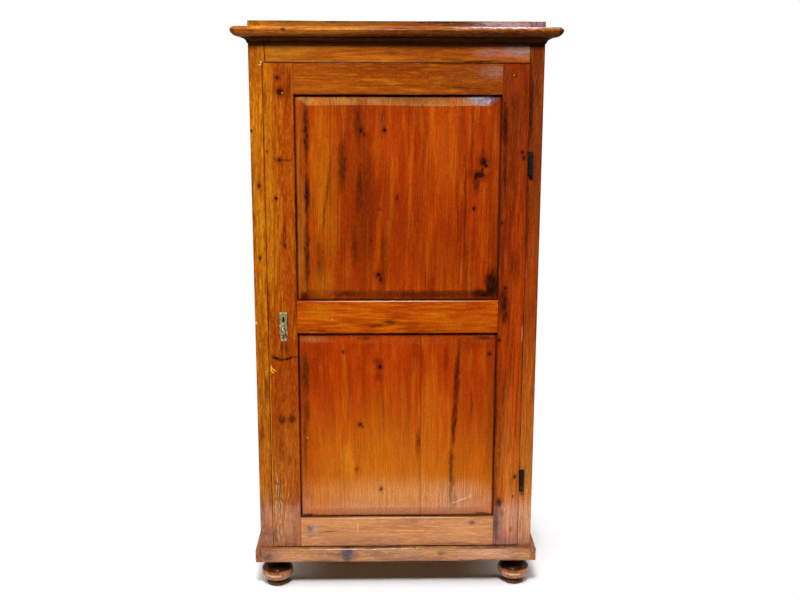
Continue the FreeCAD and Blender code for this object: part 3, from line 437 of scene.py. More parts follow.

    # dirt gathers along the edges of the board, in its joints and in bands of a moulding; the edges and bands also
    # carry painted shade: in the panels' reveals, under the cornice's lip and in its cove, along the top rail's top
    # arris, and the plinth's shadow on the feet
    crispAxes = add(tree, "SeparateXYZ", {}, {0: crisp}).outputs
    edge = None
    for axis, start, end in (("X", low.x, high.x), ("Z", low.z, high.z)):
        off = maths(tree, "ABSOLUTE", maths(tree, "SUBTRACT", crispAxes[axis], (start + end) / 2))
        inward = maths(tree, "SUBTRACT", (end - start) / 2, off)
        edge = inward if edge is None else maths(tree, "MINIMUM", edge, inward)
    dirt = fade(tree, edge, look["edgeFrom"], look["edgeReach"], look["edgeDirt"], 0.0)
    faint = fade(tree, mottle, 0.35, 0.6, 1.0, look["edgeFaint"])
    dirt = maths(tree, "MULTIPLY", dirt, faint)
    for joint in look["joints"]:
        line = maths(tree, "ABSOLUTE", maths(tree, "SUBTRACT", axes["X"], joint))
        dirt = maths(tree, "MAXIMUM", dirt, fade(tree, line, 0.6, 2.0, look["jointLine"], 0.0))
    for axis, start, end, depth in look["hollows"]:
        band = add(tree, "SeparateXYZ", {}, {0: ragged}).outputs[axis]
        dirt = maths(tree, "MAXIMUM", dirt, fade(tree, band, start, end, depth, 0.0))
    colour = blend(tree, dirt, colour, look["dirt"])
    # scratches, and painted highlights: pale lines along lit arrises and on the top bevel, and the lit band on the
    # feet
    glintAndScratchMask = near(shaken(tree, real, 12, 0.8, seed), look["scratches"], 0.6, 1.1, look["skinDeep"])
    if glintAndScratchMask:
        colour = blend(tree, glintAndScratchMask, colour, look["scratchTone"])
    bloom = near(drifted, look["bloom"], 0.2, 1.3, look["skinDeep"])
    if bloom:       # damp has turned the film milky in specks; many of these marks are painted sheen, the reflection of the lamps and the floor on the film
        specks = stretched(tree, bent, (4, 4, 14), 4.0, seed + 3.7)
        sheenAndMilkMask = maths(tree, "MULTIPLY", bloom, fade(tree, specks, 0.38, 0.62, 0.25, 1.2))
        colour = blend(tree, sheenAndMilkMask, colour, look["milk"])

    # the wood itself is matt under its film, which ripples a little and is gone where dirt and painted shade lie
    ripple = stretched(tree, real, (38, 38, 60), 3.0, seed + 8.8)
    roughness = fade(tree, ripple, 0.3, 0.7, look["gloss"] - 0.07, look["gloss"] + 0.1)
    shader.inputs["IOR"].default_value = 1.5
    shader.inputs["Specular IOR Level"].default_value = look["bareGloss"]
    shader.inputs["Coat Roughness"].default_value = 0.07
    dulled = maths(tree, "MULTIPLY", dirt, 1.2)
    if matt:
        dulled = maths(tree, "MAXIMUM", dulled, matt)
    rubs = stretched(tree, real, (16, 16, 30), 4.0, seed + 1.9)
    thin = fade(tree, rubs, 0.38, 0.6, 1 - look["wear"], 1.0)
    thin = maths(tree, "MULTIPLY", thin, film)
    coat = maths(tree, "MULTIPLY", thin, fade(tree, dulled, 0.0, 1.0, 1.0, 0.1))
    relief = maths(tree, "MULTIPLY_ADD", late, 0.05, maths(tree, "MULTIPLY", fibre, 0.10))
    relief = maths(tree, "MULTIPLY_ADD", ripple, 0.7, relief)
    bump = add(tree, "Bump", {"Strength": 0.6, "Distance": mm}, {"Height": relief})
    feed(tree, shader, {"Base Color": colour, "Roughness": roughness, "Coat Weight": coat, "Normal": bump})
    return material


# millimetres and degrees by which an arris is known as a sharp outer one
arris = {"merge": 0.01, "flat": 0.5, "flush": 0.02, "sharp": 60, "shortest": 12}


def softened(node, width):
    # A worn copy of a CAD node: its sharp outer arrises are rounded over.
    mesh = frame["nodes"][node].data.copy()
    piece = bpy.data.objects.new(camel(node), mesh)
    bpy.context.collection.objects.link(piece)
    activate(piece)
    if mesh.has_custom_normals:
        bpy.ops.mesh.customdata_custom_splitnormals_clear()
    bpy.ops.object.mode_set(mode="EDIT")
    bpy.ops.mesh.select_all(action="SELECT")
    bpy.ops.mesh.remove_doubles(threshold=arris["merge"] * mm)
    bpy.ops.mesh.dissolve_limited(angle_limit=math.radians(arris["flat"]))
    bpy.ops.mesh.select_all(action="DESELECT")
    work = bmesh.from_edit_mesh(mesh)
    low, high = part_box(node)
    for edge in work.edges:
        ends = [v.co for v in edge.verts]
        flush = any(all(abs(end[axis] - limit[axis]) < arris["flush"] * mm for end in ends)
                    for axis in range(3) for limit in (low, high))
        sharp = len(edge.link_faces) == 2 and edge.calc_face_angle_signed(0) > math.radians(arris["sharp"])
        if sharp and flush and edge.calc_length() > arris["shortest"] * mm:
            edge.select_set(True)
    bmesh.update_edit_mesh(mesh)
    bpy.ops.mesh.bevel(offset=width * mm, segments=2, affect="EDGES", clamp_overlap=True)
    bpy.ops.object.mode_set(mode="OBJECT")
    smoothFlats(piece)
    mesh.materials.clear()
    return piece


def dress(piece, material, node):
    # The piece stands for the CAD node and moves with its body.
    piece.data.materials.append(material)
    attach(piece, bodyOf[node])
    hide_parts(node)


sideLook = {
    "film": 0.25, "stain": ("#9C4408", "#C2600E", "#DA7C1A"), "patchy": ("#E09426", "#963A08"),
    "tongues": (14, 14, 160), "mottle": (40, 40, 420), "fleck": 0.3}
plinthEnd = {"slot": "moulding_pine", "soft": 0.8, "grain": "y", "film": 0.25}
# the cove of the cornice's returns is darkened: dirt and painted shade
corniceEnd = {"slot": "moulding_pine", "soft": 0.5, "grain": "y", "film": 0.6, "wear": 0.85,
              "hollows": [("Z", 1795, 1812, 0.8)]}
boards = {}
boards["left_post"] = {
    "soft": 1.4, "heart": (-70, 60), "tongues": (6, 6, 55), "patches": 0.75, "fleck": 0.45,
    "patchy": ("#D89418", "#8A3606"), "stain": ("#AB5002", "#C86C03", "#D88610"), "late": "#8A3A06",
    "bloom": [(-440, 230, 6, 60, 0.25)], "milk": "#B89080",
    "washes": [
        (-425, 300, 60, 500, 0.5, "#AA5C24"), (-430, 1843, 40, 12, 1.2, "#705416"),
        (-432, 1300, 14, 500, 0.4, "#D08C14"), (-430, 1700, 40, 70, 0.7, "#9C500C"),
        (-425, 265, 60, 90, 0.6, "#C48C64"), (-430, 184, 40, 56, 1.0, "#664438"),
        (-436, 1752, 22, 40, 0.6, "#96440C")],
    "knots": [(-404, 1598, 3, 5, 1), (-427, 1354, 4, 6, 1), (-429, 1127, 3, 5, 1)],
    "streaks": [
        (-444, 1522, 5, 8, 0.9), (-446, 1300, 3, 200, 0.4), (-420, 700, 7, 60, 0.4),
        (-436, 560, 6, 80, 0.4), (-440, 250, 10, 90, 0.5), (-415, 330, 7, 70, 0.4),
        (-400.5, 1745, 1.6, 32, 0.9)],
    "scratches": [(-447, 918, 3, 6, 0.8), (-411.5, 1727, 1.6, 4, 1), (-415, 1720, 6, 1.6, 0.6)]}
# Right post: the milky mark at its top is painted sheen, the lamps' reflection; it is lighter and pinker low down,
# partly worn, partly painted light of the floor's reflection.
boards["right_post"] = {
    "soft": 1.4, "heart": (80, 120), "patchy": ("#B0601C", "#64240A"), "fleck": 0.24, "sheen": "#A85818",
    "bloom": [(430, 1844, 30, 11, 0.8)], "milk": "#8C7C84", "stain": ("#591A03", "#7C2B09", "#913C19"),
    "late": "#5A2006",
    "washes": [
        (425, 1500, 60, 500, 0.6, "#7E3209"), (430, 960, 30, 430, 0.75, "#C04A0A"),
        (425, 330, 60, 480, 0.9, "#E58C34"), (432, 650, 26, 250, 0.65, "#D8640C"),
        (425, 250, 60, 90, 0.6, "#DCA078"), (430, 160, 40, 26, 0.6, "#A07860")],
    "streaks": [
        (413, 1586, 8, 130, 0.75), (437, 958, 3, 40, 0.5), (412, 1250, 4, 180, 0.5),
        (430, 1640, 8, 60, 0.4), (440, 700, 6, 60, 0.3)]}
# Frieze: the lighter washes along its upper part are painted light where the cornice's shadow falls; the milky marks
# at its right end and along its top are painted sheen, the lamps' reflection.
boards["frieze_rail"] = {
    "soft": 1.0, "grain": "x", "fleckSize": (2.8, 2.8, 34), "patches": 0.6,
    "stain": ("#96460A", "#B65812", "#C86E1C"), "late": "#6E300A", "milk": "#988A8C", "fleck": 0.2,
    "fibre": 0.35,
    "washes": [
        (-350, 1760, 110, 60, 0.8, "#CA7C16"), (-300, 1778, 170, 15, 0.8, "#E09028"),
        (-20, 1778, 180, 15, 0.7, "#CE7020"), (270, 1778, 180, 15, 0.7, "#B85A2C"),
        (120, 1760, 160, 60, 0.4, "#923E0E"), (-230, 1843, 280, 12, 1.2, "#7C5616"),
        (180, 1843, 240, 12, 1.1, "#583018")],
    "bloom": [
        (385, 1765, 80, 26, 0.75), (290, 1758, 60, 20, 0.35), (330, 1842, 110, 9, 1.2),
        (430, 1842, 50, 9, 1.0)],
    "streaks": [
        (-340, 1849, 60, 3, 0.7), (-180, 1848, 50, 4, 0.7), (-40, 1849, 70, 3, 0.8),
        (120, 1848, 90, 4, 0.8), (240, 1840, 60, 5, 0.6), (-300, 1736, 90, 3, 0.3),
        (200, 1733, 120, 4, 0.4), (260, 1731.5, 110, 2.6, 0.8)]}
# Sill rail: stained near black as painted shade, the dark under the plinth.
boards["sill_rail"] = {
    "soft": 1.0, "grain": "x", "stain": ("#2C2218", "#403226", "#4E4030"), "late": "#281C14",
    "patchy": ("#524232", "#302218")}
boards["left_side"] = {
    "slot": "side_pine", "heart": (150, -100), **sideLook, "bare": ("X", -441.5, -440.5)}
boards["right_side"] = {"slot": "side_pine", "heart": (-150, 300), **sideLook, "bare": ("X", 441.5, 440.5)}
boards["plinth_front"] = {
    "slot": "moulding_pine", "soft": 0.8, "grain": "x", "fleck": 0.28, "patchy": ("#D0905C", "#8E4E34"),
    "patches": 0.6, "sheen": "#DCA878", "stain": ("#905634", "#B07540", "#BE884F"), "late": "#7A401E",
    "milk": "#5E5668",
    "streaks": [
        (-163, 130, 21, 34, 1.0), (-200, 132, 30, 3, 0.5), (40, 116, 60, 3, 0.4),
        (-60, 148, 380, 1.8, 0.4), (300, 148, 150, 1.8, 0.5), (153, 130, 18, 14, 0.45),
        (-160, 130, 36, 24, 0.35), (-428, 124, 18, 14, 0.4), (-250, 106, 60, 3, 0.4),
        (300, 106, 90, 3, 0.4)],
    "bloom": [(-166, 130, 22, 24, 0.4), (-385, 126, 40, 16, 0.2)],
    "washes": [
        (-430, 126, 30, 40, 0.8, "#7A4228"), (-150, 126, 50, 30, 0.6, "#8E5236"),
        (-330, 126, 70, 30, 0.5, "#C88850"), (300, 129, 120, 30, 0.7, "#DCA47C"),
        (60, 124, 40, 16, 0.5, "#92645A"), (-310, 128, 62, 14, 0.65, "#CE8236"),
        (140, 126, 60, 13, 0.55, "#D08A40"), (250, 122, 40, 10, 0.5, "#C8803C")]}
# The plinth's ends are stained darker than its front as painted shade on the sides that turn away from the light.
boards["plinth_left"] = {**plinthEnd, "stain": ("#6E3E26", "#8E5836", "#A46C42"), "late": "#5C301A"}
boards["plinth_right"] = {**plinthEnd, "stain": ("#74442A", "#98603A", "#AC7446"), "late": "#5E321A"}
# Cornice: the darker washes on the nose and lighter and darker washes on the ovolo are painted shade and light
# against the lamps' shading; the darkened underside of the lip is painted shade with dirt; the dark tips are painted
# shade at the mitred ends; the milky marks along the right of the nose are a painted highlight.
boards["cornice_front"] = {
    "slot": "moulding_pine", "soft": 0.5, "grain": "x", "skinDeep": 60, "film": 0.06, "wear": 0.9,
    "patches": 0.7, "tongues": (10, 10, 40), "fleck": 0.35, "stain": ("#8A4608", "#A8620E", "#BE801E"),
    "hollows": [("Z", 1801, 1807, 0.6)], "milk": "#C4C2CE",
    "washes": [
        (40, 1820, 230, 60, 0.9, "#642806"), (350, 1820, 220, 60, 0.95, "#562608"),
        (-330, 1811, 330, 8, 1.0, "#E2842C"), (60, 1811, 200, 8, 0.8, "#8E4814"),
        (340, 1811, 220, 8, 0.8, "#7C4018")],
    "bloom": [(330, 1829, 150, 4, 1.0), (200, 1829, 60, 3, 0.35)],
    "streaks": [
        (-340, 1822, 9, 6, 0.9), (-140, 1816, 40, 2, 0.35), (20, 1826, 60, 2, 0.35),
        (170, 1818, 120, 3, 0.5), (300, 1812, 120, 4, 0.5), (491, 1820, 10, 16, 0.9),
        (-490, 1816, 8, 12, 0.6)]}
boards["cornice_left"] = corniceEnd
boards["cornice_right"] = corniceEnd
# Left stile: the black mark at the keyhole is painted shade; the pale line down its left arris is a painted
# highlight; it is paler low down, partly worn, partly painted light of the floor's reflection.
boards["left_stile"] = {
    "heart": (60, 90), "tongues": (7, 7, 55), "patches": 0.7, "fleck": 0.34,
    "patchy": ("#D88E14", "#842804"), "stain": ("#9D3D02", "#B65202", "#C8680B"), "late": "#7E2E04",
    "sheen": "#D87A14", "milk": "#D0A060", "scratchTone": "#F2C03C",
    "washes": [
        (-392, 1560, 20, 360, 0.6, "#C87C0A"), (-333, 1560, 20, 280, 0.75, "#A43404"),
        (-345, 1130, 22, 260, 0.6, "#A83A06"), (-392, 1240, 18, 260, 0.65, "#DC8412"),
        (-333, 640, 22, 130, 0.6, "#B03A04"), (-362, 803, 44, 12, 0.5, "#7A2C08"),
        (-358, 690, 34, 150, 0.7, "#A23A06"), (-348, 1690, 34, 60, 0.8, "#8E3806"),
        (-386, 680, 26, 250, 0.85, "#A63804"), (-362, 300, 60, 40, 0.5, "#9C5C36"),
        (-333, 900, 24, 430, 0.55, "#A43604"), (-340, 270, 40, 60, 0.5, "#C08058"),
        (-362, 185, 60, 55, 0.85, "#7E5844"), (-362, 350, 60, 330, 0.5, "#AA5A24")],
    "knots": [
        (-356, 1640, 11, 11, 1.0), (-364, 1681, 6, 6, 0.9), (-362, 1434, 5, 6, 1), (-375, 1316, 4, 6, 1),
        (-350, 1166, 3, 5, 1)],
    "streaks": [
        (-340, 1434, 22, 4, 0.6), (-350, 1210, 6, 60, 0.5), (-398, 1460, 5, 7, 0.8),
        (-384, 802, 24, 6, 0.95, 14), (-349, 800, 34, 6, 0.9, -9), (-360.5, 928, 6, 13, 1.5),
        (-366, 834, 9, 26, 0.65), (-352, 834, 7, 24, 0.6), (-392, 345, 7, 60, 0.6),
        (-384, 300, 6, 34, 0.6), (-400, 200, 8, 50, 0.4), (-350, 160, 60, 5, 0.4),
        (-372, 594, 16, 20, 0.65), (-340, 600, 16, 18, 0.6), (-375, 500, 14, 50, 0.3),
        (-352, 455, 10, 20, 0.4), (-385, 350, 12, 60, 0.5), (-340, 250, 10, 60, 0.35),
        (-330, 1650, 9, 60, 0.4), (-400, 1620, 5, 50, 0.35), (-395, 1250, 6, 90, 0.3)],
    "bloom": [
        (-398, 300, 2.4, 80, 0.6), (-374, 350, 2, 60, 0.5), (-393, 350, 3, 120, 0.8),
        (-386, 320, 3, 100, 0.7), (-379, 290, 2.6, 80, 0.7), (-366, 250, 2.6, 60, 0.7, 7),
        (-382, 235, 2.4, 70, 0.7, -6), (-358, 320, 2, 50, 0.6, 8), (-390, 210, 4, 50, 0.5),
        (-350, 240, 26, 60, 0.3)],
    "scratches": [
        (-406.3, 520, 1.3, 370, 0.35), (-402, 768, 2.2, 13, 1), (-394, 764, 11, 2, 1, 40),
        (-399, 757, 9, 2, 1, 40), (-350, 1636, 2, 2.4, 0.8), (-371, 1322, 1.6, 2, 0.8)]}
# Right stile: lighter and pinker low down, partly worn, partly painted light of the floor's reflection.
boards["right_stile"] = {
    "heart": (-60, 140), "patchy": ("#AA4A0A", "#5E1C04"), "patches": 0.55, "sheen": "#C05A0C",
    "tongues": (9, 9, 130), "fleck": 0.2, "stain": ("#711D02", "#952A02", "#AB3A0C"), "late": "#541A04",
    "bloom": [(350, 230, 16, 60, 0.35)], "milk": "#94807C",
    "washes": [
        (365, 1560, 60, 230, 0.6, "#7A2D07"), (362, 660, 15, 100, 0.6, "#DC6E10"),
        (345, 780, 26, 190, 0.9, "#C64804"), (390, 870, 28, 460, 0.85, "#CC4804"),
        (372, 350, 50, 330, 0.95, "#E07A22"), (392, 640, 26, 200, 0.65, "#D0560C"),
        (385, 255, 40, 90, 0.7, "#E0A078"), (365, 165, 60, 28, 0.7, "#8C6656"),
        (335, 1690, 20, 60, 0.5, "#663014"), (337, 230, 13, 70, 0.7, "#6E5244")],
    "knots": [
        (360, 1690, 4, 4, 0.9), (389, 1459, 4, 6, 1), (394, 1441, 4, 6, 1), (345, 1030, 4, 5, 1),
        (330, 860, 4, 6, 1), (331, 1238, 4, 5, 0.8)],
    "streaks": [
        (334, 1540, 13, 90, 0.85), (336, 1400, 8, 90, 0.6), (348, 938, 13, 30, 0.7),
        (341, 985, 18, 56, 0.75), (391, 394, 7, 12, 0.8), (385, 324, 5, 9, 0.7), (342, 300, 14, 26, 0.8),
        (334, 240, 8, 60, 0.7), (350, 268, 10, 20, 0.5), (338, 190, 9, 30, 0.5), (384, 209, 8, 12, 0.5),
        (360, 1600, 20, 60, 0.35), (380, 1100, 16, 70, 0.3), (350, 700, 12, 90, 0.3)],
    "scratches": [(403, 879, 1.0, 33, 0.6), (358, 1691, 1.8, 2.2, 0.6)]}
# Top rail: the milky mark at its right end is painted sheen, the lamps' reflection; its top arris is darkened under
# the frieze: dirt and painted shade.
boards["top_rail"] = {
    "soft": 1.0, "grain": "x", "fleckSize": (2.8, 2.8, 34), "stain": ("#7E3102", "#903B02", "#9E490A"),
    "late": "#6E2C06", "bloom": [(290, 1700, 46, 22, 0.35)], "milk": "#90807C", "fleck": 0.17,
    "fibre": 0.35, "hollows": [("Z", 1725.5, 1723, 0.7)],
    "washes": [(-250, 1680, 150, 90, 0.5, "#AC560C"), (230, 1690, 130, 60, 0.7, "#7E3C10")],
    "streaks": [
        (210, 1652, 90, 3, 0.5, 4), (240, 1644, 70, 3, 0.5, 6), (-60, 1660, 120, 3, 0.3),
        (0, 1712, 200, 4, 0.3)]}
# Mid rail: the long pale line along its top arris is a painted highlight.
boards["mid_rail"] = {
    "grain": "x", "fleckSize": (3.6, 3.6, 40), "fleck": 0.17, "fibre": 0.3,
    "patchy": ("#D87A0C", "#942E02"), "patches": 0.65, "stain": ("#B24302", "#C64D02", "#D45E04"),
    "late": "#8A3204",
    "streaks": [
        (-20, 919, 24, 11, 0.6), (-64, 908, 30, 8, 0.5), (40, 900, 40, 5, 0.3), (200, 960, 60, 4, 0.3),
        (-250, 893, 60, 4, 0.4), (120, 890, 90, 3, 0.4)],
    "washes": [(-240, 950, 60, 30, 0.6, "#D07A0C"), (230, 920, 110, 60, 0.5, "#AC4204")],
    "scratches": [(4, 987.3, 316, 1.3, 0.85), (-205, 930, 2, 1.5, 0.7)]}
# Bottom rail: the long pale line along its top arris is a painted highlight; its pale, pinkish tone is partly worn,
# partly painted light of the floor's reflection.
boards["bottom_rail"] = {
    "grain": "x", "fleck": 0.26, "fleckSize": (3, 3, 30), "patchy": ("#E09C54", "#9A5A38"), "patches": 0.6,
    "sheen": "#E8B070", "stain": ("#B36720", "#C87D34", "#D48D44"), "late": "#9A5A2C",
    "knots": [(-286, 214, 5, 6, 0.9)], "bloom": [(-280, 215, 26, 24, 0.35)],
    "streaks": [
        (-228, 203, 38, 2.6, 0.7), (253, 233, 12, 11, 0.65), (-286, 190, 12, 5, 0.4),
        (-60, 156, 120, 3, 0.4), (200, 158, 110, 4, 0.4)],
    "scratches": [(-127, 218, 1.2, 26, 0.7), (4, 251.6, 316, 1.3, 0.8)],
    "washes": [
        (-290, 215, 26, 30, 0.5, "#9A6440"), (-180, 200, 150, 60, 0.6, "#AC6430"),
        (230, 200, 130, 60, 0.4, "#DC9A54"), (120, 180, 240, 14, 0.4, "#A86444"),
        (180, 230, 120, 18, 0.4, "#D89050"), (-140, 234, 140, 12, 0.6, "#DC9440"),
        (-120, 170, 180, 12, 0.6, "#965E46")]}
for count, (node, look) in enumerate(boards.items(), 1):
    look = {**plainLook, **look, "seed": float(count)}
    piece = softened(node, look["soft"])
    dress(piece, pine("shellacked_fir_" + camel(node), node, look), node)
print("frame boards done")

# raised panels of the door
panelShape = {"tongue": 8, "bevelWide": 34, "rise": 6.2, "softEdge": 1.2, "cuts": 44, "cutAbove": 200,
              "waveAlong": 110, "waveHigh": 9.0, "planeMarks": 160, "planeHigh": 0.5}
# a dark border just inside the panel's opening: painted shade in the reveal, with dirt in the corner
panelLook = {"edgeDirt": 0.95, "edgeFrom": 11, "edgeReach": 17, "edgeFaint": 0.85, "fleck": 0.12}
panels = {}
# Upper panel: the milky mark, the darker wash under it and the bluish lines at the right end of the top bevel are a
# painted reflection of a lamp.
panels["upper_panel"] = {
    **panelLook, "seed": 21.0, "heart": (-60, 120), "tilt": (0.9, 1.2), "pitch": 8.0,
    "tongues": (18, 18, 200), "patches": 0.28, "fibre": 0.33, "sheen": "#CC6404",
    "stain": ("#972902", "#AB3702", "#BD4502"), "late": "#6A2004", "ringShade": 0.6, "joints": (-96, 118),
    "bloom": [(262, 1617, 46, 16, 0.6)], "milk": "#9088A0", "scratchTone": "#D8D4E0",
    "washes": [
        (-230, 1616, 60, 14, 0.4, "#B47A34"), (60, 1618, 170, 20, 0.9, "#86522A"),
        (262, 1618, 56, 20, 1.0, "#5E4030"), (-225, 1350, 50, 330, 0.85, "#C66808"),
        (-120, 1330, 75, 330, 0.75, "#7E2602"), (150, 1450, 60, 160, 0.6, "#C05408"),
        (20, 1150, 160, 160, 0.35, "#9A3202"), (-60, 1600, 240, 40, 0.3, "#8E3002"),
        (160, 1120, 60, 90, 0.4, "#B84A06"), (-235, 1040, 40, 60, 0.5, "#CC7A10"),
        (300, 1616, 20, 22, 0.8, "#4A2008"), (276, 1398, 12, 12, 0.7, "#C8640E")],
    "bevels": [
        ("Z", 0.04, 0.14, "#BE8C42", 0.95), ("Z", -0.04, -0.14, "#86380A", 0.75),
        ("X", -0.04, -0.14, "#B86A1C", 0.7), ("X", 0.04, 0.14, "#8A3408", 0.5)],
    "streaks": [
        (-169, 1424, 17, 105, 0.62), (-119, 1548, 16, 75, 0.55), (-116, 1334, 14, 95, 0.5),
        (-131, 1158, 14, 80, 0.45), (-40, 1132, 13, 110, 0.42), (-241, 1120, 15, 90, 0.42),
        (-44, 1560, 14, 60, 0.3), (304, 1040, 30, 60, 1.0), (280, 1010, 60, 18, 0.95),
        (-280, 1520, 12, 120, 0.8), (-280, 1325, 12, 90, 0.8), (-282, 1130, 12, 150, 0.75),
        (100, 1008, 220, 14, 0.5), (-150, 1010, 70, 12, 0.5), (-292, 1004, 18, 20, 0.7),
        (248, 1366, 12, 50, 0.65), (266, 1450, 8, 26, 0.5), (-220, 1309, 6, 170, 0.4, 7.7),
        (215, 1244, 5, 240, 0.5), (190, 1290, 4, 140, 0.35, -2), (232, 1500, 4, 120, 0.4),
        (-100, 1260, 36, 300, 0.2)],
    "scratches": [(245, 1622, 34, 1.2, 0.6), (284, 1612, 2, 9, 0.5, 35)],
    "knots": [
        (-111, 1524, 6, 9, 1), (-101, 1512, 4, 6, 0.8), (-38, 1525, 5, 6, 1), (-57, 1072, 8, 7, 1),
        (-50, 1058, 5, 9, 0.9), (268, 1428, 11, 13, 1), (277, 1416, 7, 6, 1), (258, 1388, 16, 10, 1),
        (246, 1380, 6, 8, 0.9), (266, 1402, 5, 9, 0.8), (242, 1282, 4, 5, 1), (1, 1316, 4, 8, 0.7),
        (-55, 1280, 6, 3, 0.6), (-80, 1182, 3, 4, 0.6)]}
# Lower panel: paler and pinker towards the bottom, with milky marks there: partly worn, partly painted light of the
# floor's reflection.
panels["lower_panel"] = {
    **panelLook, "seed": 22.0, "heart": (40, 150), "tilt": (0.8, -1.0), "pitch": 7.5,
    "tongues": (18, 18, 160), "patches": 0.3, "fibre": 0.3, "sheen": "#E07406",
    "stain": ("#A22C02", "#BA3702", "#C84604"), "late": "#742604", "ringShade": 0.4, "joints": (79.5,),
    "jointLine": 0.5, "milk": "#A88474",
    "washes": [
        (0, 300, 600, 340, 0.85, "#DC7E18"), (108, 620, 32, 150, 0.6, "#DC700C"),
        (-160, 445, 24, 70, 0.55, "#EE9C14"), (-283, 470, 22, 130, 0.45, "#D65A0A"),
        (-300, 560, 40, 300, 0.4, "#8A3406"), (-60, 520, 60, 160, 0.5, "#D8740A"),
        (0, 262, 340, 26, 0.8, "#A06848"), (230, 700, 60, 200, 0.4, "#9A3404"),
        (230, 850, 80, 40, 0.7, "#862804"), (0, 335, 340, 60, 0.7, "#E29C5C"),
        (200, 330, 110, 50, 0.7, "#E0A070"), (-270, 862, 56, 12, 0.6, "#B47448"),
        (-300, 330, 30, 60, 0.4, "#A8603C")],
    "bevels": [
        ("Z", 0.04, 0.14, "#A04A14", 0.5), ("Z", -0.04, -0.14, "#B06838", 0.5),
        ("X", -0.04, -0.14, "#9A4A14", 0.4), ("X", 0.04, 0.14, "#8A3408", 0.5)],
    "streaks": [
        (-293, 751, 18, 80, 0.65), (-290, 262, 34, 5, 0.8), (290, 262, 44, 5, 0.7), (0, 258, 300, 3, 0.4),
        (-105, 866, 28, 8, 0.5), (196, 730, 11, 140, 0.7, 2), (189, 590, 10, 130, 0.7, 3),
        (182, 409, 10, 150, 0.6), (71, 508, 9, 60, 0.5), (-296, 520, 8, 150, 0.45), (282, 866, 30, 9, 0.6),
        (245, 640, 5, 60, 0.5), (160, 800, 10, 50, 0.3), (-56, 735, 16, 20, 0.4), (-60, 790, 20, 14, 0.4),
        (195, 310, 8, 40, 0.4), (-290, 620, 9, 50, 0.5)],
    "knots": [
        (-53, 771, 7, 8, 1), (-118, 576, 5, 5, 1), (-50, 352, 4, 6, 0.8), (-130, 422, 4, 5, 0.55),
        (-171, 821, 4, 5, 0.7), (300, 812, 5, 5, 1), (-110, 568, 4, 3, 0.7)],
    "bloom": [(-60, 300, 200, 40, 0.22), (200, 290, 120, 46, 0.3)],
    "scratches": [
        (214, 311, 36, 1.5, 1, -22), (246, 326, 1.6, 9, 1), (214, 316, 14, 1.2, 0.5, -14),
        (-290, 530, 1.5, 3, 0.8)]}


def raisedPanel(node, shape):
    # A flat board whose front is bevelled down to a tongue; the arris wanders a little, as planed by hand.
    low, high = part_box(node)
    low.y += shape["rise"] * mm
    piece = block(camel(node), low, high)
    bpy.ops.object.mode_set(mode="EDIT")
    bpy.ops.mesh.select_mode(type="FACE")
    bpy.ops.mesh.select_all(action="DESELECT")
    work = bmesh.from_edit_mesh(piece.data)
    for face in work.faces:     # the front
        face.select_set(face.normal.y < -0.9)
    bmesh.update_edit_mesh(piece.data)
    soft = shape["softEdge"]
    slope = shape["rise"] / shape["bevelWide"]
    for wide, deep in ((shape["tongue"], 0), (soft, soft * slope),
                       (shape["bevelWide"] - 2 * soft, (shape["bevelWide"] - 2 * soft) * slope),
                       (soft, soft * slope * 0.7), (soft, 0.1), (soft, 0)):
        bpy.ops.mesh.inset(thickness=wide * mm, depth=deep * mm, use_even_offset=True)
    cutLong(piece, shape["cutAbove"], shape["cuts"])
    bpy.ops.object.mode_set(mode="OBJECT")
    ways = {"arrisHigh": "Z", "arrisWide": "X", "face": "Y"}
    for name in ways:
        piece.vertex_groups.new(name=name)
    inner = (shape["tongue"] + shape["bevelWide"]) * mm
    least, most = inner - 2 * soft * mm, inner + 3 * soft * mm
    for vertex in piece.data.vertices:
        at = vertex.co
        if at.y > low.y - 0.4 * shape["rise"] * mm:     # on the tongue, or low on a bevel
            continue
        sideward = min(at.x - low.x, high.x - at.x)
        upward = min(at.z - low.z, high.z - at.z)
        for name, inside in (("face", True), ("arrisHigh", sideward > least and upward < most),
                             ("arrisWide", upward > least and sideward < most)):
            if inside:
                piece.vertex_groups[name].add([vertex.index], 1.0, "REPLACE")
    for name, way in ways.items():
        clouds = bpy.data.textures.new(piece.name + name, "CLOUDS")
        clouds.noise_scale = (shape["planeMarks"] if name == "face" else shape["waveAlong"]) * mm
        wave = piece.modifiers.new(name, "DISPLACE")
        wave.texture = clouds
        wave.texture_coords = "LOCAL"
        wave.direction = way
        wave.vertex_group = name
        wave.mid_level = 0.5
        wave.strength = (shape["planeHigh"] if name == "face" else shape["waveHigh"]) * mm
        bpy.ops.object.modifier_apply(modifier=name)
    smoothFlats(piece)
    return piece


for node, look in panels.items():
    piece = raisedPanel(node, panelShape)
    dress(piece, pine("shellacked_fir_" + camel(node), node, look), node)
print("door panels done")

# turned feet, which stay as the frame has them
# the top of each bun is painted dark as the plinth's shadow on it, and the foot darkens again towards the toe
feetLook = {"stain": ("#7E4A28", "#A8704A", "#C08E66"), "pitch": 5.0, "heart": (30, 60), "edgeDirt": 0.0,
            "mottle": (12, 12, 30), "patches": 0.3, "hollows": [("Z", 62, 54, 0.95), ("Z", 20, 30, 0.7)]}
# painted highlights: a pale band and spot across the middle of the bun, and painted light on its neck
footHighlights = [(-8, 46, 34, 3.4, 0.75), (-10, 44, 12, 2.4, 0.9), (-4, 88, 13, 9, 0.4)]
for end in ("front", "back"):
    for side in ("left", "right"):
        node = end + "_" + side + "_foot"
        middle = sum(corner.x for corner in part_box(node)) / 2 / mm
        rubs = [(middle + across, *rub) for across, *rub in footHighlights]
        look = {**feetLook, "scratches": rubs, "scratchTone": "#E0AC80", "skinDeep": 60}
        frame["nodes"][node].data.materials[0] = pine("turned_fir_" + camel(node), node, look)
print("feet done")

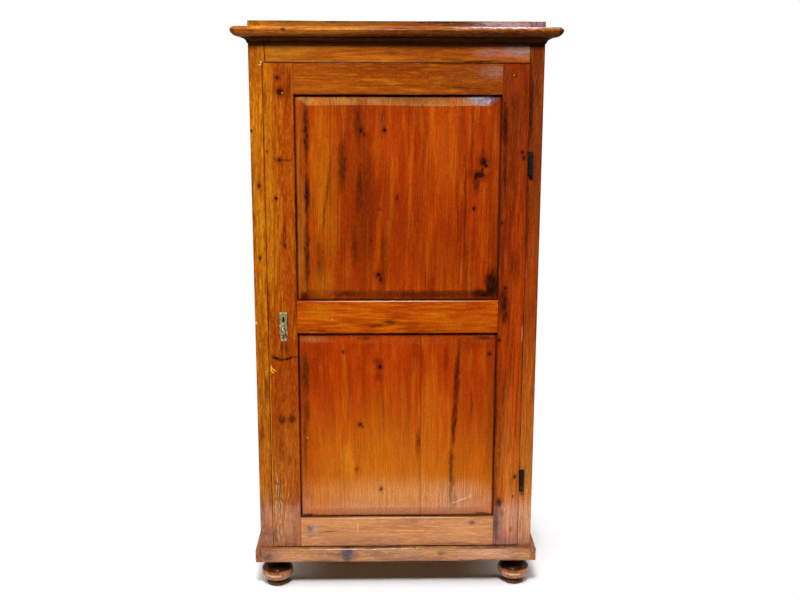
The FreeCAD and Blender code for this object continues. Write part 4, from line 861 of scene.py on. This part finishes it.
# boards inside and behind, planed and waxed, never stained
insideLook = {
    "stain": ("#A0703F", "#BC8C5E", "#CAA076"), "late": "#84502A", "sheen": "#DDB888", "fleck": 0.2,
    "patchy": ("#CCA274", "#A2703F"), "patches": 0.4, "tongues": (12, 12, 150), "smear": 0.4,
    "ringShade": 0.8, "gloss": 0.55, "film": 0.15, "bareGloss": 0.3, "edgeDirt": 0.45}
knotsIn = {"count": 4, "size": (4, 9), "inset": 20}
knotDice = random.Random(5)
insideGrain = {"board": "x", "shelf": "x", "batten": "y", "plank": "z", "block": "z"}
insideNodes = [node for node in bodyOf if any(word in node.split("_") for word in insideGrain)]
for count, node in enumerate(sorted(insideNodes)):
    grain = next(way for word, way in insideGrain.items() if word in node.split("_"))
    look = {**insideLook, "grain": grain, "seed": 30.0 + 1.7 * count,
            "heart": (-80 + 23 * count % 150, 90)}
    if "plank" in node:
        start, end = (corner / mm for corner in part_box(node))
        inset = knotsIn["inset"]
        ranges = ((start.x + inset, end.x - inset), (start.z, end.z), knotsIn["size"], knotsIn["size"])
        look["knots"] = [(*[knotDice.uniform(*span) for span in ranges], 1)
                         for _ in range(knotsIn["count"])]
    dress(softened(node, 0.8), pine("waxed_fir_" + camel(node), node, look), node)
frame["nodes"]["door_pegs"].data.materials[0] = pine("waxed_fir_doorPegs", "door_pegs",
                                                     {**insideLook, "grain": "y"})

# loose tongues, which close the shrunken joints of the back
looseTongue = {"joints": 3, "wide": 9, "thick": 3, "short": 2}
for joint in range(1, looseTongue["joints"] + 1):
    left, right = (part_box("back_plank_%d" % plank) for plank in (joint, joint + 1))
    middle = Vector((left[1].x + right[0].x, left[0].y + left[1].y, left[0].z + left[1].z)) / 2
    half = Vector((looseTongue["wide"] * mm, looseTongue["thick"] * mm,
                   left[1].z - left[0].z - looseTongue["short"] * mm)) / 2
    piece = block("backTongue%d" % joint, middle - half, middle + half)
    piece.data.materials.append(pine("waxed_fir_" + piece.name, "back_plank_%d" % joint, insideLook))
    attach(piece, "carcass")
print("inside done")


# metals
def metal(name, look):
    # A worn metal: worn bright in places, brown or green with tarnish elsewhere. Marks add grime with painted shade,
    # and painted highlights.
    material, tree, real, shader = startMaterial(name)
    lump = look["lump"]
    patches = stretched(tree, real, (lump, lump, lump), 5.0)
    grit = stretched(tree, real, (0.6, 0.6, 0.6), 3.0, 4.0)
    worn = fade(tree, patches, look["wornFrom"], look["wornTo"], 0.0, 1.0)
    colour = blend(tree, worn, look["tarnish"], look["bright"])
    speck = fade(tree, grit, 0.3, 0.45, look["specks"], 0.0)
    colour = blend(tree, speck, colour, look["dirt"])
    for marks, tone in (("grime", look["dirt"]), ("rubbed", look.get("glint"))):
        if look.get(marks):
            smudged = shaken(tree, real, 3, 0.5, 7.7)
            near = marked(tree, smudged, look[marks], look["marksAt"], look["marksDeep"], 0.5, 1.2,
                          "MAXIMUM")
            colour = blend(tree, near, colour, tone)
    shader.inputs["Metallic"].default_value = look["metallic"]
    roughness = fade(tree, worn, 0.0, 1.0, look["dull"], look["shiny"])
    height = maths(tree, "MULTIPLY_ADD", grit, 0.15, patches)
    bump = add(tree, "Bump", {"Strength": 0.5, "Distance": look["relief"] * mm}, {"Height": height})
    feed(tree, shader, {"Base Color": colour, "Roughness": roughness, "Normal": bump})
    return material


brassLook = {
    "bright": "#DCCC94", "tarnish": "#94844A", "dirt": "#1E180A", "metallic": 0.45, "lump": 5,
    "wornFrom": 0.4, "wornTo": 0.6, "specks": 0.5, "dull": 0.5, "shiny": 0.25, "relief": 0.5,
    "glint": "#FFF8E0", "marksAt": -205, "marksDeep": 60,
    # dark grime along the plate's edges, and painted shade: the drop's shadow beside and below it, and the dark round
    # the keyhole
    "grime": [
        (-355, 888, 3, 20, 1, -12), (-366, 893, 1.6, 12, 0.8, -6), (-350, 872, 4, 5, 0.9),
        (-361, 869, 3, 5, 0.9), (-360.5, 928, 5.5, 12, 0.6), (-373.8, 920, 2.4, 34, 0.9),
        (-347.2, 920, 2.4, 34, 0.9)],
    # painted highlights on the drop, the stud, the nail heads and the plate's shoulders
    "rubbed": [
        (-362.5, 901, 2.6, 10, 1), (-366, 862.5, 2.6, 2.6, 1), (-353.5, 862.5, 2.6, 2.6, 1),
        (-360.5, 914.5, 2.4, 2, 1), (-370.5, 909, 2.4, 4, 0.8), (-368, 950, 4, 3, 0.6),
        (-353, 950, 4, 3, 0.6), (-356.5, 890, 1.4, 9, 0.7, -12)]}
ironLook = {
    "bright": "#5A524A", "tarnish": "#221B16", "dirt": "#120C09", "metallic": 0.85, "lump": 5,
    "wornFrom": 0.5, "wornTo": 0.75, "specks": 0.6, "dull": 0.6, "shiny": 0.38, "relief": 0.35}
agedBrass = metal("aged_brass", brassLook)
plateShape = {"levels": 30, "cutAbove": 80, "arris": 0.5, "keyWide": 7.4, "keyHigh": 18, "keyMiddle": 928,
              "keyDeep": 20, "roundUp": 0.25, "slotWide": 0.62, "slotHigh": 0.76, "slotDown": 2,
              "outline": ((857.0, 0.50), (859.5, 0.60), (863, 0.66), (870, 0.70), (877, 0.78), (885, 0.93),
                          (893, 1.0), (945, 1.0), (949, 0.95), (951.5, 0.86), (954, 0.70))}


def keyPlate(node, shape):
    # A cast plate, round shouldered at the top and drawn in below, with the keyhole cut through.
    low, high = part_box(node)
    piece = block(camel(node), low, high)
    bpy.ops.object.mode_set(mode="EDIT")
    cutLong(piece, shape["cutAbove"], shape["levels"])
    bpy.ops.mesh.select_mode(type="VERT")
    work = bmesh.from_edit_mesh(piece.data)
    outline = shape["outline"]
    across = (low.x + high.x) / 2
    for height in sorted({round(v.co.z, 6) for v in work.verts}):
        below = max((step for step in outline if step[0] * mm <= height), default=outline[0])
        above = min((step for step in outline if step[0] * mm > height), default=outline[-1])
        part = (height / mm - below[0]) / max(above[0] - below[0], 1e-6)
        for v in work.verts:
            v.select_set(abs(v.co.z - height) < 0.01 * mm)
        bpy.ops.transform.resize(value=(below[1] + (above[1] - below[1]) * part, 1, 1),
                                 center_override=(across, 0, height))
    bpy.ops.object.mode_set(mode="OBJECT")
    wide, tall, deep, middle = (shape[key] for key in ("keyWide", "keyHigh", "keyDeep", "keyMiddle"))
    bpy.ops.mesh.primitive_cylinder_add(
        vertices=32, radius=wide / 2 * mm, depth=deep * mm, rotation=(math.pi / 2, 0, 0),
        location=(across, low.y, (middle + tall * shape["roundUp"]) * mm))
    cutters = [bpy.context.object]
    bpy.ops.mesh.primitive_cube_add(
        size=1, location=(across, low.y, (middle - shape["slotDown"]) * mm),
        scale=(wide * shape["slotWide"] * mm, deep * mm, tall * shape["slotHigh"] * mm))
    cutters.append(bpy.context.object)
    for tool in cutters:
        activate(piece)
        hole = piece.modifiers.new("keyhole", "BOOLEAN")
        hole.operation = "DIFFERENCE"
        hole.object = tool
        bpy.ops.object.modifier_apply(modifier="keyhole")
        bpy.data.objects.remove(tool, do_unlink=True)
    bevel = piece.modifiers.new("arris", "BEVEL")
    bevel.width = shape["arris"] * mm
    bevel.segments = 2
    bevel.limit_method = "ANGLE"
    bevel.angle_limit = math.radians(50)
    bpy.ops.object.modifier_apply(modifier="arris")
    smoothFlats(piece)
    return piece


dress(keyPlate("escutcheon", plateShape), agedBrass, "escutcheon")
darkIron = metal("wrought_iron", ironLook)
brassNodes = ["pull_stud", "drop_pull", "escutcheon_nails"]
ironWords = ("hinge", "lock_", "keeper", "back_nails")      # the corner blocks end in "_block"
ironNodes = [node for node in bodyOf if any(word in node for word in ironWords)]
for node in brassNodes:
    frame["nodes"][node].data.materials[0] = agedBrass
for node in ironNodes:
    frame["nodes"][node].data.materials[0] = darkIron
print("metals done")
